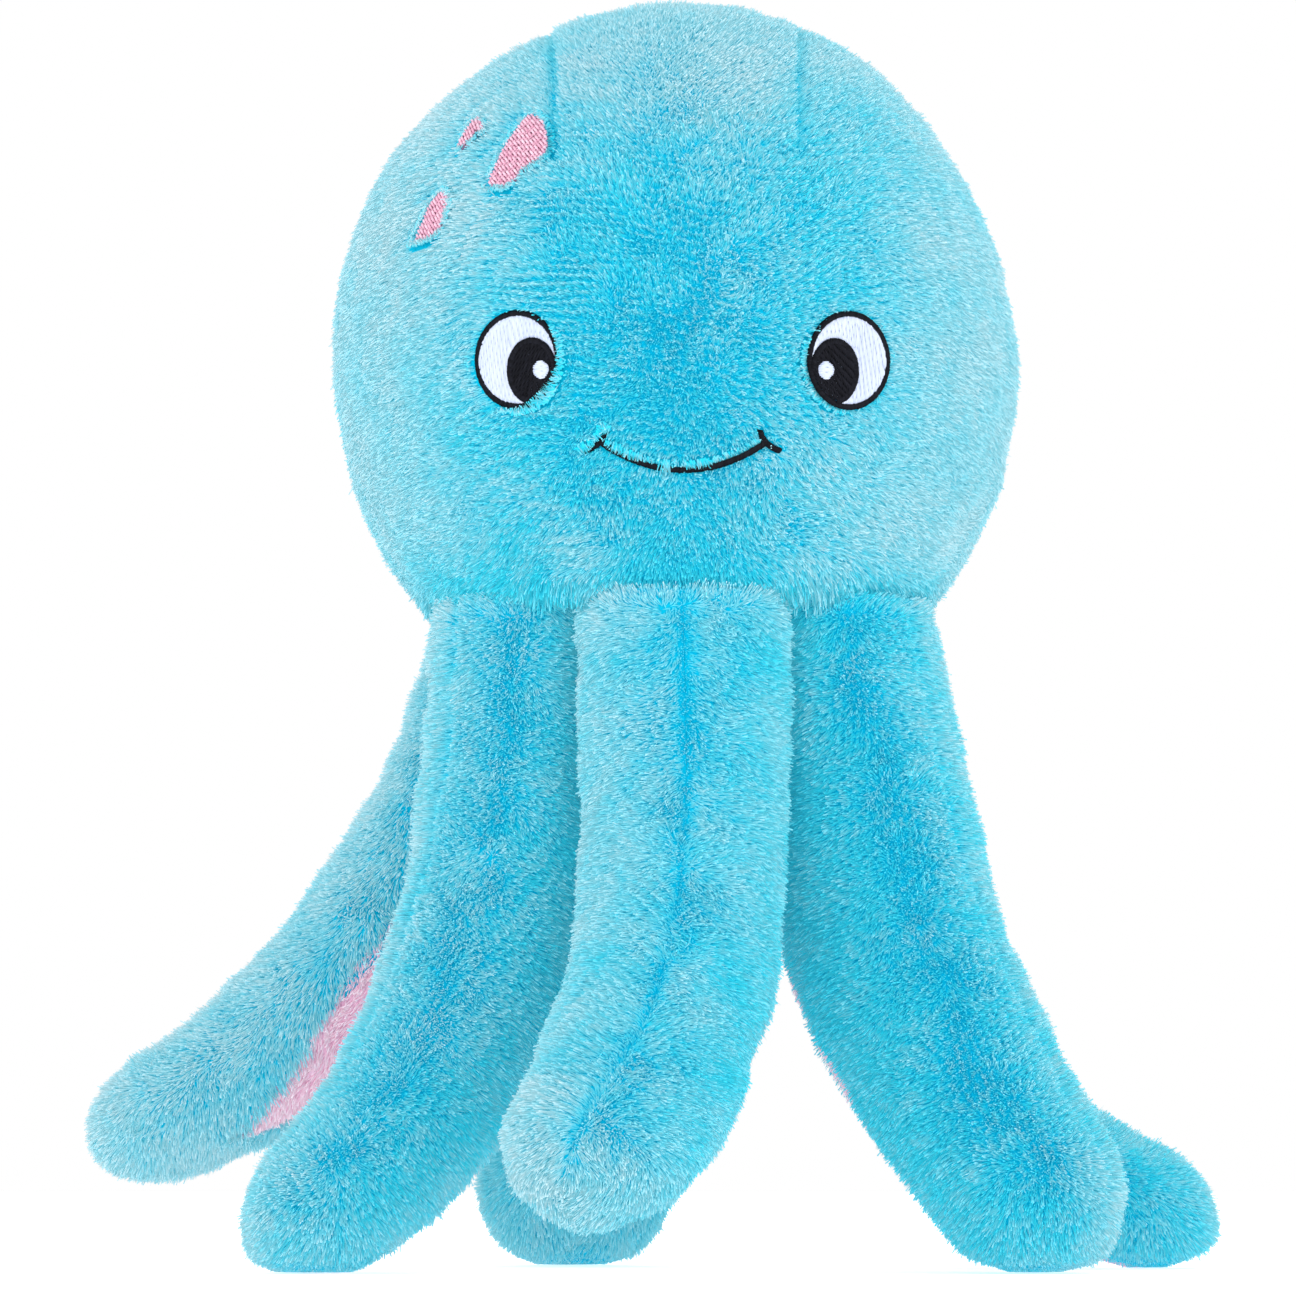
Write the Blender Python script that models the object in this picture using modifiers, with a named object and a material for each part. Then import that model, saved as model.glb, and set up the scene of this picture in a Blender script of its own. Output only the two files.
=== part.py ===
"""Plush octopus: a round stuffed head on six stuffed arms, standing on four of its arm tips.

Units are metres, +Z is up and the face looks along -Y. The origin is on the floor, under the middle
of the toy. Surfaces are those of the plush cloth with its pile pressed half flat.
"""
import math

import bmesh
import bpy
from mathutils import Matrix, Vector

# Head: a ball a little taller than wide, cut flat at the neck, with its middle up and a little to the
# left of the neck's
head_width = 0.1584
head_depth = 0.1540
head_height = 0.1690
neck_height = 0.1570
head_rise = 0.0570
neck_x = 0.0080
head_lean = 0.0013
head_sides = 24
head_rings = 14

# Cloth, stuffing and the gaps that part them
plush_thickness = 0.0036
stuffing_clearance = 0.0008
seam_gap = 0.0004
base_clearance = 0.0008

# Crown panel: a strip over the top of the head, from forehead to back
crown_width = 0.0560
crown_drop = 0.0422

# Arms: full tubes, wedge-shaped at the root where six meet, and flatter towards the round end
arm_length = 0.1680
arm_root_radius = 0.0400
arm_root_width = 0.0438
arm_waist_width = 0.0430
arm_paw_width = 0.0430
arm_root_thickness = 0.0410
arm_belly_thickness = 0.0450
arm_waist_share = 0.22
arm_belly_share = 0.45
arm_paw_share = 0.95
arm_wedge_share = 0.30
arm_wedge_end_share = 0.60
arm_end_angles_deg = (28, 50, 68, 81)
arm_ring_shares = (0, 0.12, 0.25, 0.39, 0.54, 0.70, 0.85, 1)
arm_side_arcs = 5
arm_under_arcs = 4
under_panel_deg = 90
sole_cut = 0.0005

# Where each arm's root sits round the neck, in degrees from +X
arm_azimuths_deg = {
    "front_centre": 270,
    "front_left": 210,
    "front_right": 330,
    "back_left": 150,
    "back_right": 30,
    "back_centre": 90,
}

# How each arm hangs: how far out its hip, its knee and its tip are from its root, as shares of the
# arm's length
arm_out_shares = {
    "front_centre": (0.036, 0.083, 0.452),
    "front_left": (0, 0.024, 0.425),
    "front_right": (0.020, 0.068, 0.393),
    "back_left": (0.028, 0.225, 0.658),
    "back_right": (0.012, 0.130, 0.560),
    "back_centre": (0.036, 0.090, 0.440),
}

# How thick its round end is, as a share of its belly's thickness
arm_paw_thickness_shares = {
    "front_centre": 0.70,
    "front_left": 0.78,
    "front_right": 0.86,
    "back_left": 0.64,
    "back_right": 0.70,
    "back_centre": 0.80,
}

# How far its knee and its tip sway round the neck, as shares of the arm's length
arm_sway_shares = {
    "front_centre": (0.045, -0.155),
    "front_left": (0, 0),
    "front_right": (0, 0),
    "back_left": (0, 0.143),
    "back_right": (0, -0.143),
    "back_centre": (0, 0.215),
}

# The heights of its hip, its knee and its lowest point, as shares of the neck's height. An arm with no
# height at its lowest point stands on the floor.
arm_height_shares = {
    "front_centre": (0.713, 0.330, 0.083),
    "front_left": (0.669, 0.318, 0),
    "front_right": (0.713, 0.395, 0),
    "back_left": (0.780, 0.340, 0.147),
    "back_right": (0.637, 0.100, 0),
    "back_centre": (0.700, 0.330, 0),
}

# How far each arm's underside panel is turned round it
under_turns_deg = {
    "front_centre": 0,
    "front_left": 0,
    "front_right": 0,
    "back_left": 20,
    "back_right": 0,
    "back_centre": 0,
}
curve_steps = 60
settling_passes = 8

# Rendering of round pieces
sharp_angle_deg = 45
line_roundness = 1

# Embroidery: satin stitches that stand on the cloth
thread_thickness = 0.0009
thread_gap = 0.0003
cut_overrun = 0.0010
patch_sides = 18

# Eyes, placed either side of the neck's middle; the pupils look inwards and down
eye_spacing = 0.0754
eye_drop = 0.0060
eye_width = 0.0220
eye_height = 0.0226
eye_outline_radius = 0.0007
pupil_width = 0.0120
pupil_height = 0.0146
pupil_inset = 0.0040
pupil_drop = 0.0028
glint_diameter = 0.0034
glint_inset = 0.0063
glint_drop = 0.0026

# Mouth: one shallow curve of black thread with a crease at each end
mouth_width = 0.0372
mouth_sag = 0.0058
mouth_drop = 0.0313
mouth_line_radius = 0.0008
mouth_points = 13
crease_length = 0.0074
crease_line_radius = 0.0006
crease_angle_deg = 46
crease_rise = 0.0004

# Pink spots on the upper left of the head: across and up from the head's centre, long and short sides
big_spot_across = 0.0372
big_spot_rise = 0.0439
big_spot_length = 0.0190
big_spot_width = 0.0145
small_spot_across = 0.0560
small_spot_rise = 0.0305
small_spot_length = 0.0150
small_spot_width = 0.0100
top_spot_across = 0.0478
top_spot_rise = 0.0488
top_spot_length = 0.0105
top_spot_width = 0.0070
spot_turn_deg = 52

neck_centre = Vector((neck_x, 0, 0))
head_centre_height = neck_height + head_rise
head_x = neck_x - head_lean
head_centre = Vector((head_x, 0, head_centre_height))
crown_height = head_centre_height + head_height / 2 - crown_drop

# The seams round an arm, before its turn: angles in its sections, 90 degrees in its outer face's middle
ridge = math.pi / 2
under_start = 3 * math.pi / 2 - math.radians(under_panel_deg) / 2
under_end = 3 * math.pi / 2 + math.radians(under_panel_deg) / 2


def clear_scene():
    """Remove whatever the file held."""
    for old in list(bpy.data.objects):
        bpy.data.objects.remove(old, do_unlink=True)


def new_collection(name):
    made = bpy.data.collections.new(name)
    bpy.context.scene.collection.children.link(made)
    return made


def new_material(name, colour, roughness):
    """A Principled material of one colour, for cloth, fibre or thread."""
    made = bpy.data.materials.new(name)
    made.use_nodes = True
    shader = made.node_tree.nodes["Principled BSDF"]
    shader.inputs["Base Color"].default_value = (*colour, 1)
    shader.inputs["Roughness"].default_value = roughness
    shader.inputs["Metallic"].default_value = 0
    made.diffuse_color = (*colour, 1)
    return made


clear_scene()
parts = new_collection("plush_octopus")
cutters = new_collection("cutters")

blue_plush = new_material("blue_plush", (0.09, 0.53, 0.75), 0.95)
pink_plush = new_material("pink_plush", (0.87, 0.52, 0.69), 0.95)
fibre_fill = new_material("fibre_fill", (0.90, 0.90, 0.88), 1.0)
white_thread = new_material("white_thread", (0.75, 0.81, 0.94), 0.6)
black_thread = new_material("black_thread", (0.01, 0.01, 0.012), 0.6)
pink_thread = new_material("pink_thread", (0.76, 0.34, 0.46), 0.6)


def add_mesh_object(name, made, material, collection=parts, parent=None):
    """Turn a bmesh into a smooth-shaded object."""
    mesh = bpy.data.meshes.new(name)
    made.to_mesh(mesh)
    made.free()
    mesh.shade_smooth()
    mesh.set_sharp_from_angle(angle=math.radians(sharp_angle_deg))
    piece = bpy.data.objects.new(name, mesh)
    collection.objects.link(piece)
    if material:
        mesh.materials.append(material)
    if parent:
        piece.parent = parent
    return piece


def add_shell(piece, thickness, side):
    """Give an open surface its thickness, inwards for side -1 and outwards for side 1."""
    shell = piece.modifiers.new("cloth", "SOLIDIFY")
    shell.thickness = thickness
    shell.offset = side
    shell.use_even_offset = True
    return shell


def add_boolean(piece, cutter, operation):
    cut = piece.modifiers.new("cut", "BOOLEAN")
    cut.operation = operation
    cut.solver = "EXACT"
    cut.object = cutter
    return cut


def hide_cutter(cutter):
    cutter.display_type = "WIRE"
    cutter.hide_render = True
    return cutter


# The head's own shape


def head_radii(inset):
    """Half of the head's width, depth and height, on a surface that lies inset under the cloth's."""
    return Vector((head_width / 2 - inset, head_depth / 2 - inset, head_height / 2 - inset))


def head_ball(inset):
    """The head's whole ball, before the neck cut, turned so that seams run along the middle of faces."""
    ball = bmesh.new()
    turn = Matrix.Rotation(math.pi / head_sides, 4, "Z")
    bmesh.ops.create_uvsphere(
        ball, u_segments=head_sides, v_segments=head_rings, radius=1, matrix=turn
    )
    radii = head_radii(inset)
    for point in ball.verts:
        point.co = head_centre + point.co * radii
    return ball


def split(made, point, normal, fill=False, clear=False):
    """Cut a bmesh by a plane, and on request drop what lies past it and close the cut."""
    everything = made.verts[:] + made.edges[:] + made.faces[:]
    cut = bmesh.ops.bisect_plane(
        made, geom=everything, plane_co=point, plane_no=normal, clear_outer=clear
    )
    if fill:
        edges = [item for item in cut["geom_cut"] if isinstance(item, bmesh.types.BMEdge)]
        bmesh.ops.holes_fill(made, edges=edges)


def keep_faces(made, wanted):
    """Delete the faces whose middle isn't wanted."""
    dropped = [face for face in made.faces if not wanted(face.calc_center_median())]
    bmesh.ops.delete(made, geom=dropped, context="FACES")


def in_crown(point, margin):
    """Whether a point of the head lies on the crown panel, grown by a margin."""
    beside = abs(point.x - head_x) < crown_width / 2 + margin
    return beside and point.z > crown_height - margin


def cut_crown_edges(made, margin):
    """Cut along the crown panel's outline, moved outwards by a margin."""
    for side in (-1, 1):
        edge = Vector((head_x + side * (crown_width / 2 + margin), 0, 0))
        split(made, edge, (1, 0, 0))
    split(made, Vector((0, 0, crown_height - margin)), (0, 0, 1))


def add_head_panels():
    """The cloth of the head: a face, a crown and two back panels, open at the neck."""
    half_gap = seam_gap / 2
    neck = Vector((0, 0, neck_height))

    face = head_ball(0)
    split(face, neck, (0, 0, -1), clear=True)
    split(face, Vector((0, -half_gap, 0)), (0, 1, 0), clear=True)
    cut_crown_edges(face, half_gap)
    keep_faces(face, lambda point: not in_crown(point, half_gap))
    add_shell(add_mesh_object("face_panel", face, blue_plush), plush_thickness, -1)

    crown = head_ball(0)
    cut_crown_edges(crown, -half_gap)
    keep_faces(crown, lambda point: in_crown(point, -half_gap))
    add_shell(add_mesh_object("crown_panel", crown, blue_plush), plush_thickness, -1)

    for name, side in (("back_panel_left", -1), ("back_panel_right", 1)):
        back = head_ball(0)
        split(back, neck, (0, 0, -1), clear=True)
        split(back, Vector((0, half_gap, 0)), (0, -1, 0), clear=True)
        split(back, Vector((head_x + side * half_gap, 0, 0)), (-side, 0, 0), clear=True)
        cut_crown_edges(back, half_gap)
        keep_faces(back, lambda point: not in_crown(point, half_gap))
        add_shell(add_mesh_object(name, back, blue_plush), plush_thickness, -1)


def add_head_inside():
    """The stuffing of the head, and the base panel that holds it in at the neck."""
    inset = plush_thickness + stuffing_clearance
    stuffing = head_ball(inset)
    floor = Vector((0, 0, neck_height + plush_thickness + stuffing_clearance))
    split(stuffing, floor, (0, 0, -1), fill=True, clear=True)
    add_mesh_object("head_stuffing", stuffing, fibre_fill)

    drop = head_centre_height - neck_height
    shrink = math.sqrt(1 - (drop / head_radii(0).z) ** 2)
    rim = head_radii(0) * shrink
    base = bmesh.new()
    bmesh.ops.create_cone(base, cap_ends=True, segments=head_sides, radius1=1, radius2=1, depth=1)
    margin = plush_thickness + base_clearance
    size = Vector((rim.x - margin, rim.y - margin, plush_thickness))
    middle = Vector((head_x, 0, neck_height + plush_thickness / 2))
    for point in base.verts:
        point.co = middle + point.co * size
    add_mesh_object("base_panel", base, pink_plush)


# The arms, each in its own frame: X out from the neck, Y round it, Z up, origin on the root's hinge


def bezier(points, share):
    """A point on a curve with four control points."""
    rest = 1 - share
    weights = (rest**3, 3 * share * rest**2, 3 * share**2 * rest, share**3)
    return sum((point * weight for point, weight in zip(points, weights)), Vector())


def paw_thickness(name):
    return arm_belly_thickness * arm_paw_thickness_shares[name]


def arm_curve(name):
    """The arm's middle line at rest, root to tip, before it settles on the floor."""
    hip_out, knee_out, tip_out = [share * arm_length for share in arm_out_shares[name]]
    knee_side, tip_side = [share * arm_length for share in arm_sway_shares[name]]
    heights = [share * neck_height - neck_height for share in arm_height_shares[name]]
    hip_height, knee_height, lowest = heights
    root = Vector((-arm_root_thickness / 2, 0, -seam_gap))
    hip = Vector((root.x + hip_out, 0, hip_height))
    knee = Vector((root.x + knee_out, knee_side, knee_height))
    tip = Vector((root.x + tip_out, tip_side, lowest + paw_thickness(name) / 2))
    controls = (root, hip, knee, tip)
    return [bezier(controls, step / curve_steps) for step in range(curve_steps + 1)]


def eased(start, end, share):
    """A smooth change from start to end as share goes from 0 to 1."""
    share = min(max(share, 0), 1)
    return start + (end - start) * share * share * (3 - 2 * share)


def arm_half_width(share):
    """Half of the arm's width: full at the root, drawn in below it, full again at the paw."""
    if share < arm_waist_share:
        return eased(arm_root_width, arm_waist_width, share / arm_waist_share) / 2
    past_waist = (share - arm_waist_share) / (arm_paw_share - arm_waist_share)
    return eased(arm_waist_width, arm_paw_width, past_waist) / 2


def arm_half_thickness(share, end_thickness):
    """Half of the arm's thickness: fullest at the belly, flatter at the paw."""
    if share < arm_belly_share:
        return eased(arm_root_thickness, arm_belly_thickness, share / arm_belly_share) / 2
    past_belly = (share - arm_belly_share) / (arm_paw_share - arm_belly_share)
    return eased(arm_belly_thickness, end_thickness, past_belly) / 2


def point_along(line, distance):
    """The place and direction at a distance along a line of points."""
    for start, end in zip(line, line[1:]):
        step = (end - start).length
        if distance <= step:
            return start + (end - start) * (distance / step), (end - start) / step
        distance -= step
    direction = (line[-1] - line[-2]).normalized()
    return line[-1] + direction * distance, direction


def line_length(line):
    return sum((end - start).length for start, end in zip(line, line[1:]))


def arm_rings(line, end_thickness, inset):
    """Sections of an arm on a surface that lies inset under its cloth.

    Each is its middle, the directions of its width and of its outer face, half of its width and
    thickness, and how much wider it is outside than inside. The last few close the round end.
    """
    length = line_length(line)
    end_radius = arm_half_width(1)
    straight = length - end_radius
    sections = [(straight * share, 1, share * straight / length) for share in arm_ring_shares]
    for angle in map(math.radians, arm_end_angles_deg):
        place = straight + (end_radius - inset) * math.sin(angle)
        sections.append((place, math.cos(angle), 1))
    rings = []
    for place, shrink, share in sections:
        middle, along = point_along(line, place)
        if place == 0:
            along = Vector((0, 0, -1))
        width_way = (Vector((0, 1, 0)) - along * along.y).normalized()
        out_way = along.cross(width_way)
        half_width = (arm_half_width(share) - inset) * shrink
        half_thickness = (arm_half_thickness(share, end_thickness) - inset) * shrink
        wedge = eased(arm_wedge_share, 0, share / arm_wedge_end_share)
        rings.append((middle, width_way, out_way, half_width, half_thickness, wedge))
    return rings


def ring_point(ring, angle):
    """A point of a section: 0 and pi are its side edges, pi/2 is the middle of its outer face."""
    middle, width_way, out_way, half_width, half_thickness, wedge = ring
    across = half_width * math.cos(angle) * (1 + wedge * math.sin(angle))
    return middle + width_way * across + out_way * half_thickness * math.sin(angle)


def settled_line(name):
    """The arm's middle line, lowered until its lowest point is at its height over the floor."""
    line = arm_curve(name)
    arc_steps = range(arm_under_arcs + 1)
    height_share = arm_height_shares[name][-1]
    target = height_share * neck_height - neck_height
    if height_share == 0:
        target -= sole_cut
    below = [under_start + (under_end - under_start) * step / arm_under_arcs for step in arc_steps]
    for _ in range(settling_passes):
        rings = arm_rings(line, paw_thickness(name), 0)
        lowest = min(ring_point(ring, angle).z for ring in rings for angle in below)
        shares = [step / curve_steps for step in range(curve_steps + 1)]
        line = [
            point + Vector((0, 0, (target - lowest) * share**2)) for point, share in zip(line, shares)
        ]
    return line


def seam_angle(ring, angle):
    """The turn round a section that half of the seam gap takes up at this angle."""
    half_width, half_thickness = ring[3], ring[4]
    pace = math.hypot(half_width * math.sin(angle), half_thickness * math.cos(angle))
    return seam_gap / 2 / pace


def arc(ring, start, end, steps):
    """Points round a section from one seam to the next, clear of both."""
    first = start + seam_angle(ring, start)
    last = end - seam_angle(ring, end)
    return [ring_point(ring, first + (last - first) * step / steps) for step in range(steps + 1)]


def loft(sections):
    """A closed solid through sections with equal numbers of points."""
    made = bmesh.new()
    loops = [[made.verts.new(point) for point in section] for section in sections]
    count = len(loops[0])
    for loop, following in zip(loops, loops[1:]):
        for step in range(count):
            after = (step + 1) % count
            made.faces.new((loop[step], loop[after], following[after], following[step]))
    return made, loops


def close_loft(made):
    """Point the faces outwards."""
    bmesh.ops.recalc_face_normals(made, faces=made.faces[:])
    return made


def cut_sole(made):
    """Cut flat what reaches under the floor."""
    floor = Vector((0, 0, -neck_height))
    if min(point.co.z for point in made.verts) < floor.z:
        split(made, floor, (0, 0, -1), fill=True, clear=True)
    return made


def arm_panel(line, end_thickness, start, end, steps):
    """One cloth panel of an arm, between the seams at two angles round it."""
    outer = arm_rings(line, end_thickness, 0)
    inner = arm_rings(line, end_thickness, plush_thickness)
    sections = []
    for outside, inside in zip(outer, inner):
        lining = arc(inside, start, end, steps)
        sections.append(arc(outside, start, end, steps) + lining[::-1])
    made, loops = loft(sections)
    for loop in (loops[0], loops[-1]):
        for step in range(steps):
            pair = (loop[step], loop[step + 1], loop[-2 - step], loop[-1 - step])
            made.faces.new(pair)
    return cut_sole(close_loft(made))


def arm_stuffing(line, end_thickness, panel_spans):
    """The fibre inside an arm, faceted as its panels are."""
    rings = arm_rings(line, end_thickness, plush_thickness + stuffing_clearance)
    sections = []
    for ring in rings:
        angles = []
        for start, end, steps in panel_spans:
            angles += [start + (end - start) * step / steps for step in range(steps)]
        sections.append([ring_point(ring, angle) for angle in angles])
    made, loops = loft(sections)
    made.faces.new(loops[0])
    made.faces.new(loops[-1])
    return close_loft(made)


def add_arm(name, azimuth_deg):
    """One arm: a hinge at the top of its root, two upper panels, an underside and its stuffing."""
    azimuth = math.radians(azimuth_deg)
    hinge = bpy.data.objects.new(f"{name}_hinge", None)
    parts.objects.link(hinge)
    reach = arm_root_radius + arm_root_thickness / 2
    out = Vector((math.cos(azimuth), math.sin(azimuth), 0))
    hinge.location = neck_centre + out * reach + Vector((0, 0, neck_height))
    hinge.rotation_euler.z = azimuth

    line = settled_line(name)
    thickness = paw_thickness(name)
    turn = math.radians(under_turns_deg[name])
    spans = {
        "upper_panel_right": (under_end + turn - 2 * math.pi, ridge, arm_side_arcs),
        "upper_panel_left": (ridge, under_start + turn, arm_side_arcs),
        "under_panel": (under_start + turn, under_end + turn, arm_under_arcs),
    }
    for panel, span in spans.items():
        material = pink_plush if panel == "under_panel" else blue_plush
        cloth = arm_panel(line, thickness, *span)
        add_mesh_object(f"{name}_arm_{panel}", cloth, material, parent=hinge)
    stuffing = arm_stuffing(line, thickness, spans.values())
    add_mesh_object(f"{name}_arm_stuffing", stuffing, fibre_fill, parent=hinge)


# The embroidery, laid on the head's surface


def head_surface(point, outset):
    """Where the line from the head's centre through a point meets the surface, raised by outset."""
    away = point - head_centre
    radii = head_radii(-outset)
    reach = math.sqrt(sum((away[axis] / radii[axis]) ** 2 for axis in range(3)))
    return head_centre + away / reach


class FaceSpot:
    """A place on the front of the head, with directions across and up along its surface."""

    def __init__(self, across, rise, turn=0):
        radii = head_radii(0)
        share = 1 - (across / radii.x) ** 2 - (rise / radii.z) ** 2
        away = Vector((across, -radii.y * math.sqrt(share), rise))
        self.place = head_centre + away
        outward = Vector([away[axis] / radii[axis] ** 2 for axis in range(3)]).normalized()
        level = Vector((0, 0, 1)).cross(outward).normalized()
        upward = outward.cross(level)
        self.across = level * math.cos(turn) + upward * math.sin(turn)
        self.up = upward * math.cos(turn) - level * math.sin(turn)

    def point(self, across, up, outset):
        return head_surface(self.place + self.across * across + self.up * up, outset)


def patch(spot, middle, size, outset):
    """An oval of cloth surface at a place on the head, as an open mesh."""
    made = bmesh.new()
    bmesh.ops.create_circle(made, cap_ends=True, cap_tris=True, segments=patch_sides, radius=1)
    spokes = [edge for edge in made.edges if not edge.is_boundary]
    bmesh.ops.subdivide_edges(made, edges=spokes, cuts=1)
    for point in made.verts:
        across = middle[0] + point.co.x * size[0] / 2
        up = middle[1] + point.co.y * size[1] / 2
        point.co = spot.point(across, up, outset)
    bmesh.ops.recalc_face_normals(made, faces=made.faces[:])
    facing = made.faces[:][0]
    if facing.normal.dot(facing.calc_center_median() - head_centre) < 0:
        bmesh.ops.reverse_faces(made, faces=made.faces[:])
    return made


def add_patch(name, spot, middle, size, material):
    """A field of satin stitches."""
    piece = add_mesh_object(name, patch(spot, middle, size, thread_gap), material)
    add_shell(piece, thread_thickness, 1)
    return piece


def add_patch_cutter(name, spot, middle, size):
    """A cutter through the thickness of a field of stitches."""
    made = patch(spot, middle, size, thread_gap - cut_overrun)
    cutter = add_mesh_object(name, made, None, collection=cutters)
    add_shell(cutter, thread_thickness + 2 * cut_overrun, 1)
    return hide_cutter(cutter)


def add_line(name, points, radius, material, closed=False):
    """A line of stitches, as a round tube through points."""
    curve = bpy.data.curves.new(name, "CURVE")
    curve.dimensions = "3D"
    curve.bevel_depth = radius
    curve.bevel_resolution = line_roundness
    curve.use_fill_caps = True
    spline = curve.splines.new("POLY")
    spline.points.add(len(points) - 1)
    for knot, point in zip(spline.points, points):
        knot.co = (*point, 1)
    spline.use_cyclic_u = closed
    curve.materials.append(material)
    piece = bpy.data.objects.new(name, curve)
    parts.objects.link(piece)
    return piece


def add_eye(name, side):
    """An eye: a white field with a pupil and a glint let into it, and an outline round it."""
    spot = FaceSpot(head_lean + side * eye_spacing / 2, -eye_drop)
    line_outset = thread_gap + eye_outline_radius
    outline = []
    for step in range(patch_sides):
        angle = 2 * math.pi * step / patch_sides
        across = (eye_width / 2 - eye_outline_radius) * math.cos(angle)
        up = (eye_height / 2 - eye_outline_radius) * math.sin(angle)
        outline.append(spot.point(across, up, line_outset))
    add_line(f"{name}_outline", outline, eye_outline_radius, black_thread, closed=True)

    border = 4 * eye_outline_radius + 2 * thread_gap
    field_size = (eye_width - border, eye_height - border)
    pupil_middle = (-side * pupil_inset, -pupil_drop)
    pupil_size = (pupil_width, pupil_height)
    pupil_hole = (pupil_width + 2 * thread_gap, pupil_height + 2 * thread_gap)
    glint_middle = (-side * glint_inset, -glint_drop)
    glint_size = (glint_diameter, glint_diameter)
    glint_hole = (glint_diameter + 2 * thread_gap, glint_diameter + 2 * thread_gap)

    white = add_patch(f"{name}_white", spot, (0, 0), field_size, white_thread)
    pupil_cutter = add_patch_cutter(f"{name}_pupil_cutter", spot, pupil_middle, pupil_hole)
    add_boolean(white, pupil_cutter, "DIFFERENCE")

    pupil = add_patch(f"{name}_pupil", spot, pupil_middle, pupil_size, black_thread)
    field_cutter = add_patch_cutter(f"{name}_field_cutter", spot, (0, 0), field_size)
    glint_cutter = add_patch_cutter(f"{name}_glint_cutter", spot, glint_middle, glint_hole)
    add_boolean(pupil, field_cutter, "INTERSECT")
    add_boolean(pupil, glint_cutter, "DIFFERENCE")

    add_patch(f"{name}_glint", spot, glint_middle, glint_size, white_thread)


def add_mouth():
    """The mouth line, and the crease that crosses each of its ends."""
    spot = FaceSpot(head_lean, -mouth_drop)
    outset = thread_gap + mouth_line_radius
    line = []
    for step in range(mouth_points):
        share = 2 * step / (mouth_points - 1) - 1
        across = share * mouth_width / 2
        line.append(spot.point(across, mouth_sag * share**2, outset))
    add_line("mouth_line", line, mouth_line_radius, black_thread)

    turn = math.radians(crease_angle_deg)
    gap = thread_gap + mouth_line_radius + crease_line_radius
    for name, side in (("mouth_crease_left", -1), ("mouth_crease_right", 1)):
        middle = (side * (mouth_width / 2 + gap), mouth_sag + crease_rise)
        crease = []
        for share in (-0.5, 0, 0.5):
            across = middle[0] + side * share * crease_length * math.cos(turn)
            up = middle[1] - share * crease_length * math.sin(turn)
            crease.append(spot.point(across, up, thread_gap + crease_line_radius))
        add_line(name, crease, crease_line_radius, black_thread)


def add_spots():
    """Three pink spots, one above the other on the upper left of the head."""
    turn = math.radians(spot_turn_deg)
    spots = (
        ("spot_large", big_spot_across, big_spot_rise, big_spot_length, big_spot_width),
        ("spot_small", small_spot_across, small_spot_rise, small_spot_length, small_spot_width),
        ("spot_top", top_spot_across, top_spot_rise, top_spot_length, top_spot_width),
    )
    for name, across, rise, length, width in spots:
        spot = FaceSpot(-across, rise, turn)
        add_patch(name, spot, (0, 0), (length, width), pink_thread)


add_head_panels()
add_head_inside()
for arm_name, arm_azimuth in arm_azimuths_deg.items():
    add_arm(arm_name, arm_azimuth)
add_eye("eye_left", -1)
add_eye("eye_right", 1)
add_mouth()
add_spots()
bpy.context.view_layer.update()
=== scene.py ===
"""Looks of the plush octopus: cloth, fibre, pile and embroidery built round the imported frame.

Units are metres, +Z is up and the face looks along -Y. The pile is made of real strands: each is a
three-sided blade with its root on the cloth. Strands, stitches and cloth carry a map named OFBake,
whose first number is the tone and whose second runs from root to tip.
"""
import math

import bmesh
import bpy
import numpy as np
from mathutils import Matrix, Vector


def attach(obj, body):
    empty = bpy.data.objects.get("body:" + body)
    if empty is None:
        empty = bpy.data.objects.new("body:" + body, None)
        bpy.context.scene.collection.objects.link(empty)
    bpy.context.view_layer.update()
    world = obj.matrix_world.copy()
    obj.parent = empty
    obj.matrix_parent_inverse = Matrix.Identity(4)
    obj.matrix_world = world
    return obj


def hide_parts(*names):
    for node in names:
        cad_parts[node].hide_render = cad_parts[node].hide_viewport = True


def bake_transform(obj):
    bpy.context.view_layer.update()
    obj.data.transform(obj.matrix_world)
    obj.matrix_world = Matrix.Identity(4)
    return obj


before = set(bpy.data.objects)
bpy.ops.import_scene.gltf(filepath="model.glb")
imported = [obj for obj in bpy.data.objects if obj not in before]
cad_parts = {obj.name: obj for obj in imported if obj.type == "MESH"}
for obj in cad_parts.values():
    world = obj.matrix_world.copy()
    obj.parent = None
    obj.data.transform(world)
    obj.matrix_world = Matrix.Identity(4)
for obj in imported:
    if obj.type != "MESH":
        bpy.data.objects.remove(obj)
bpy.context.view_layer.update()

# Shapes of the frame, as part.py has them
head_width = 0.1584
head_depth = 0.1540
head_height = 0.1690
neck_height = 0.1570
head_rise = 0.0570
neck_x = 0.0080
head_lean = 0.0013
plush_thickness = 0.0036
stuffing_clearance = 0.0008
seam_gap = 0.0004
crown_width = 0.0560
crown_drop = 0.0422
base_clearance = 0.0008

arm_length = 0.1680
arm_root_radius = 0.0400
arm_root_width = 0.0438
arm_waist_width = 0.0430
arm_paw_width = 0.0430
arm_root_thickness = 0.0410
arm_belly_thickness = 0.0450
arm_waist_share = 0.22
arm_belly_share = 0.45
arm_paw_share = 0.95
arm_wedge_share = 0.30
arm_wedge_end_share = 0.60
arm_end_angles_deg = (28, 50, 68, 81)
arm_ring_shares = (0, 0.12, 0.25, 0.39, 0.54, 0.70, 0.85, 1)
arm_under_arcs = 4
under_panel_deg = 90
sole_cut = 0.0005
curve_steps = 60
settling_passes = 8

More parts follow.
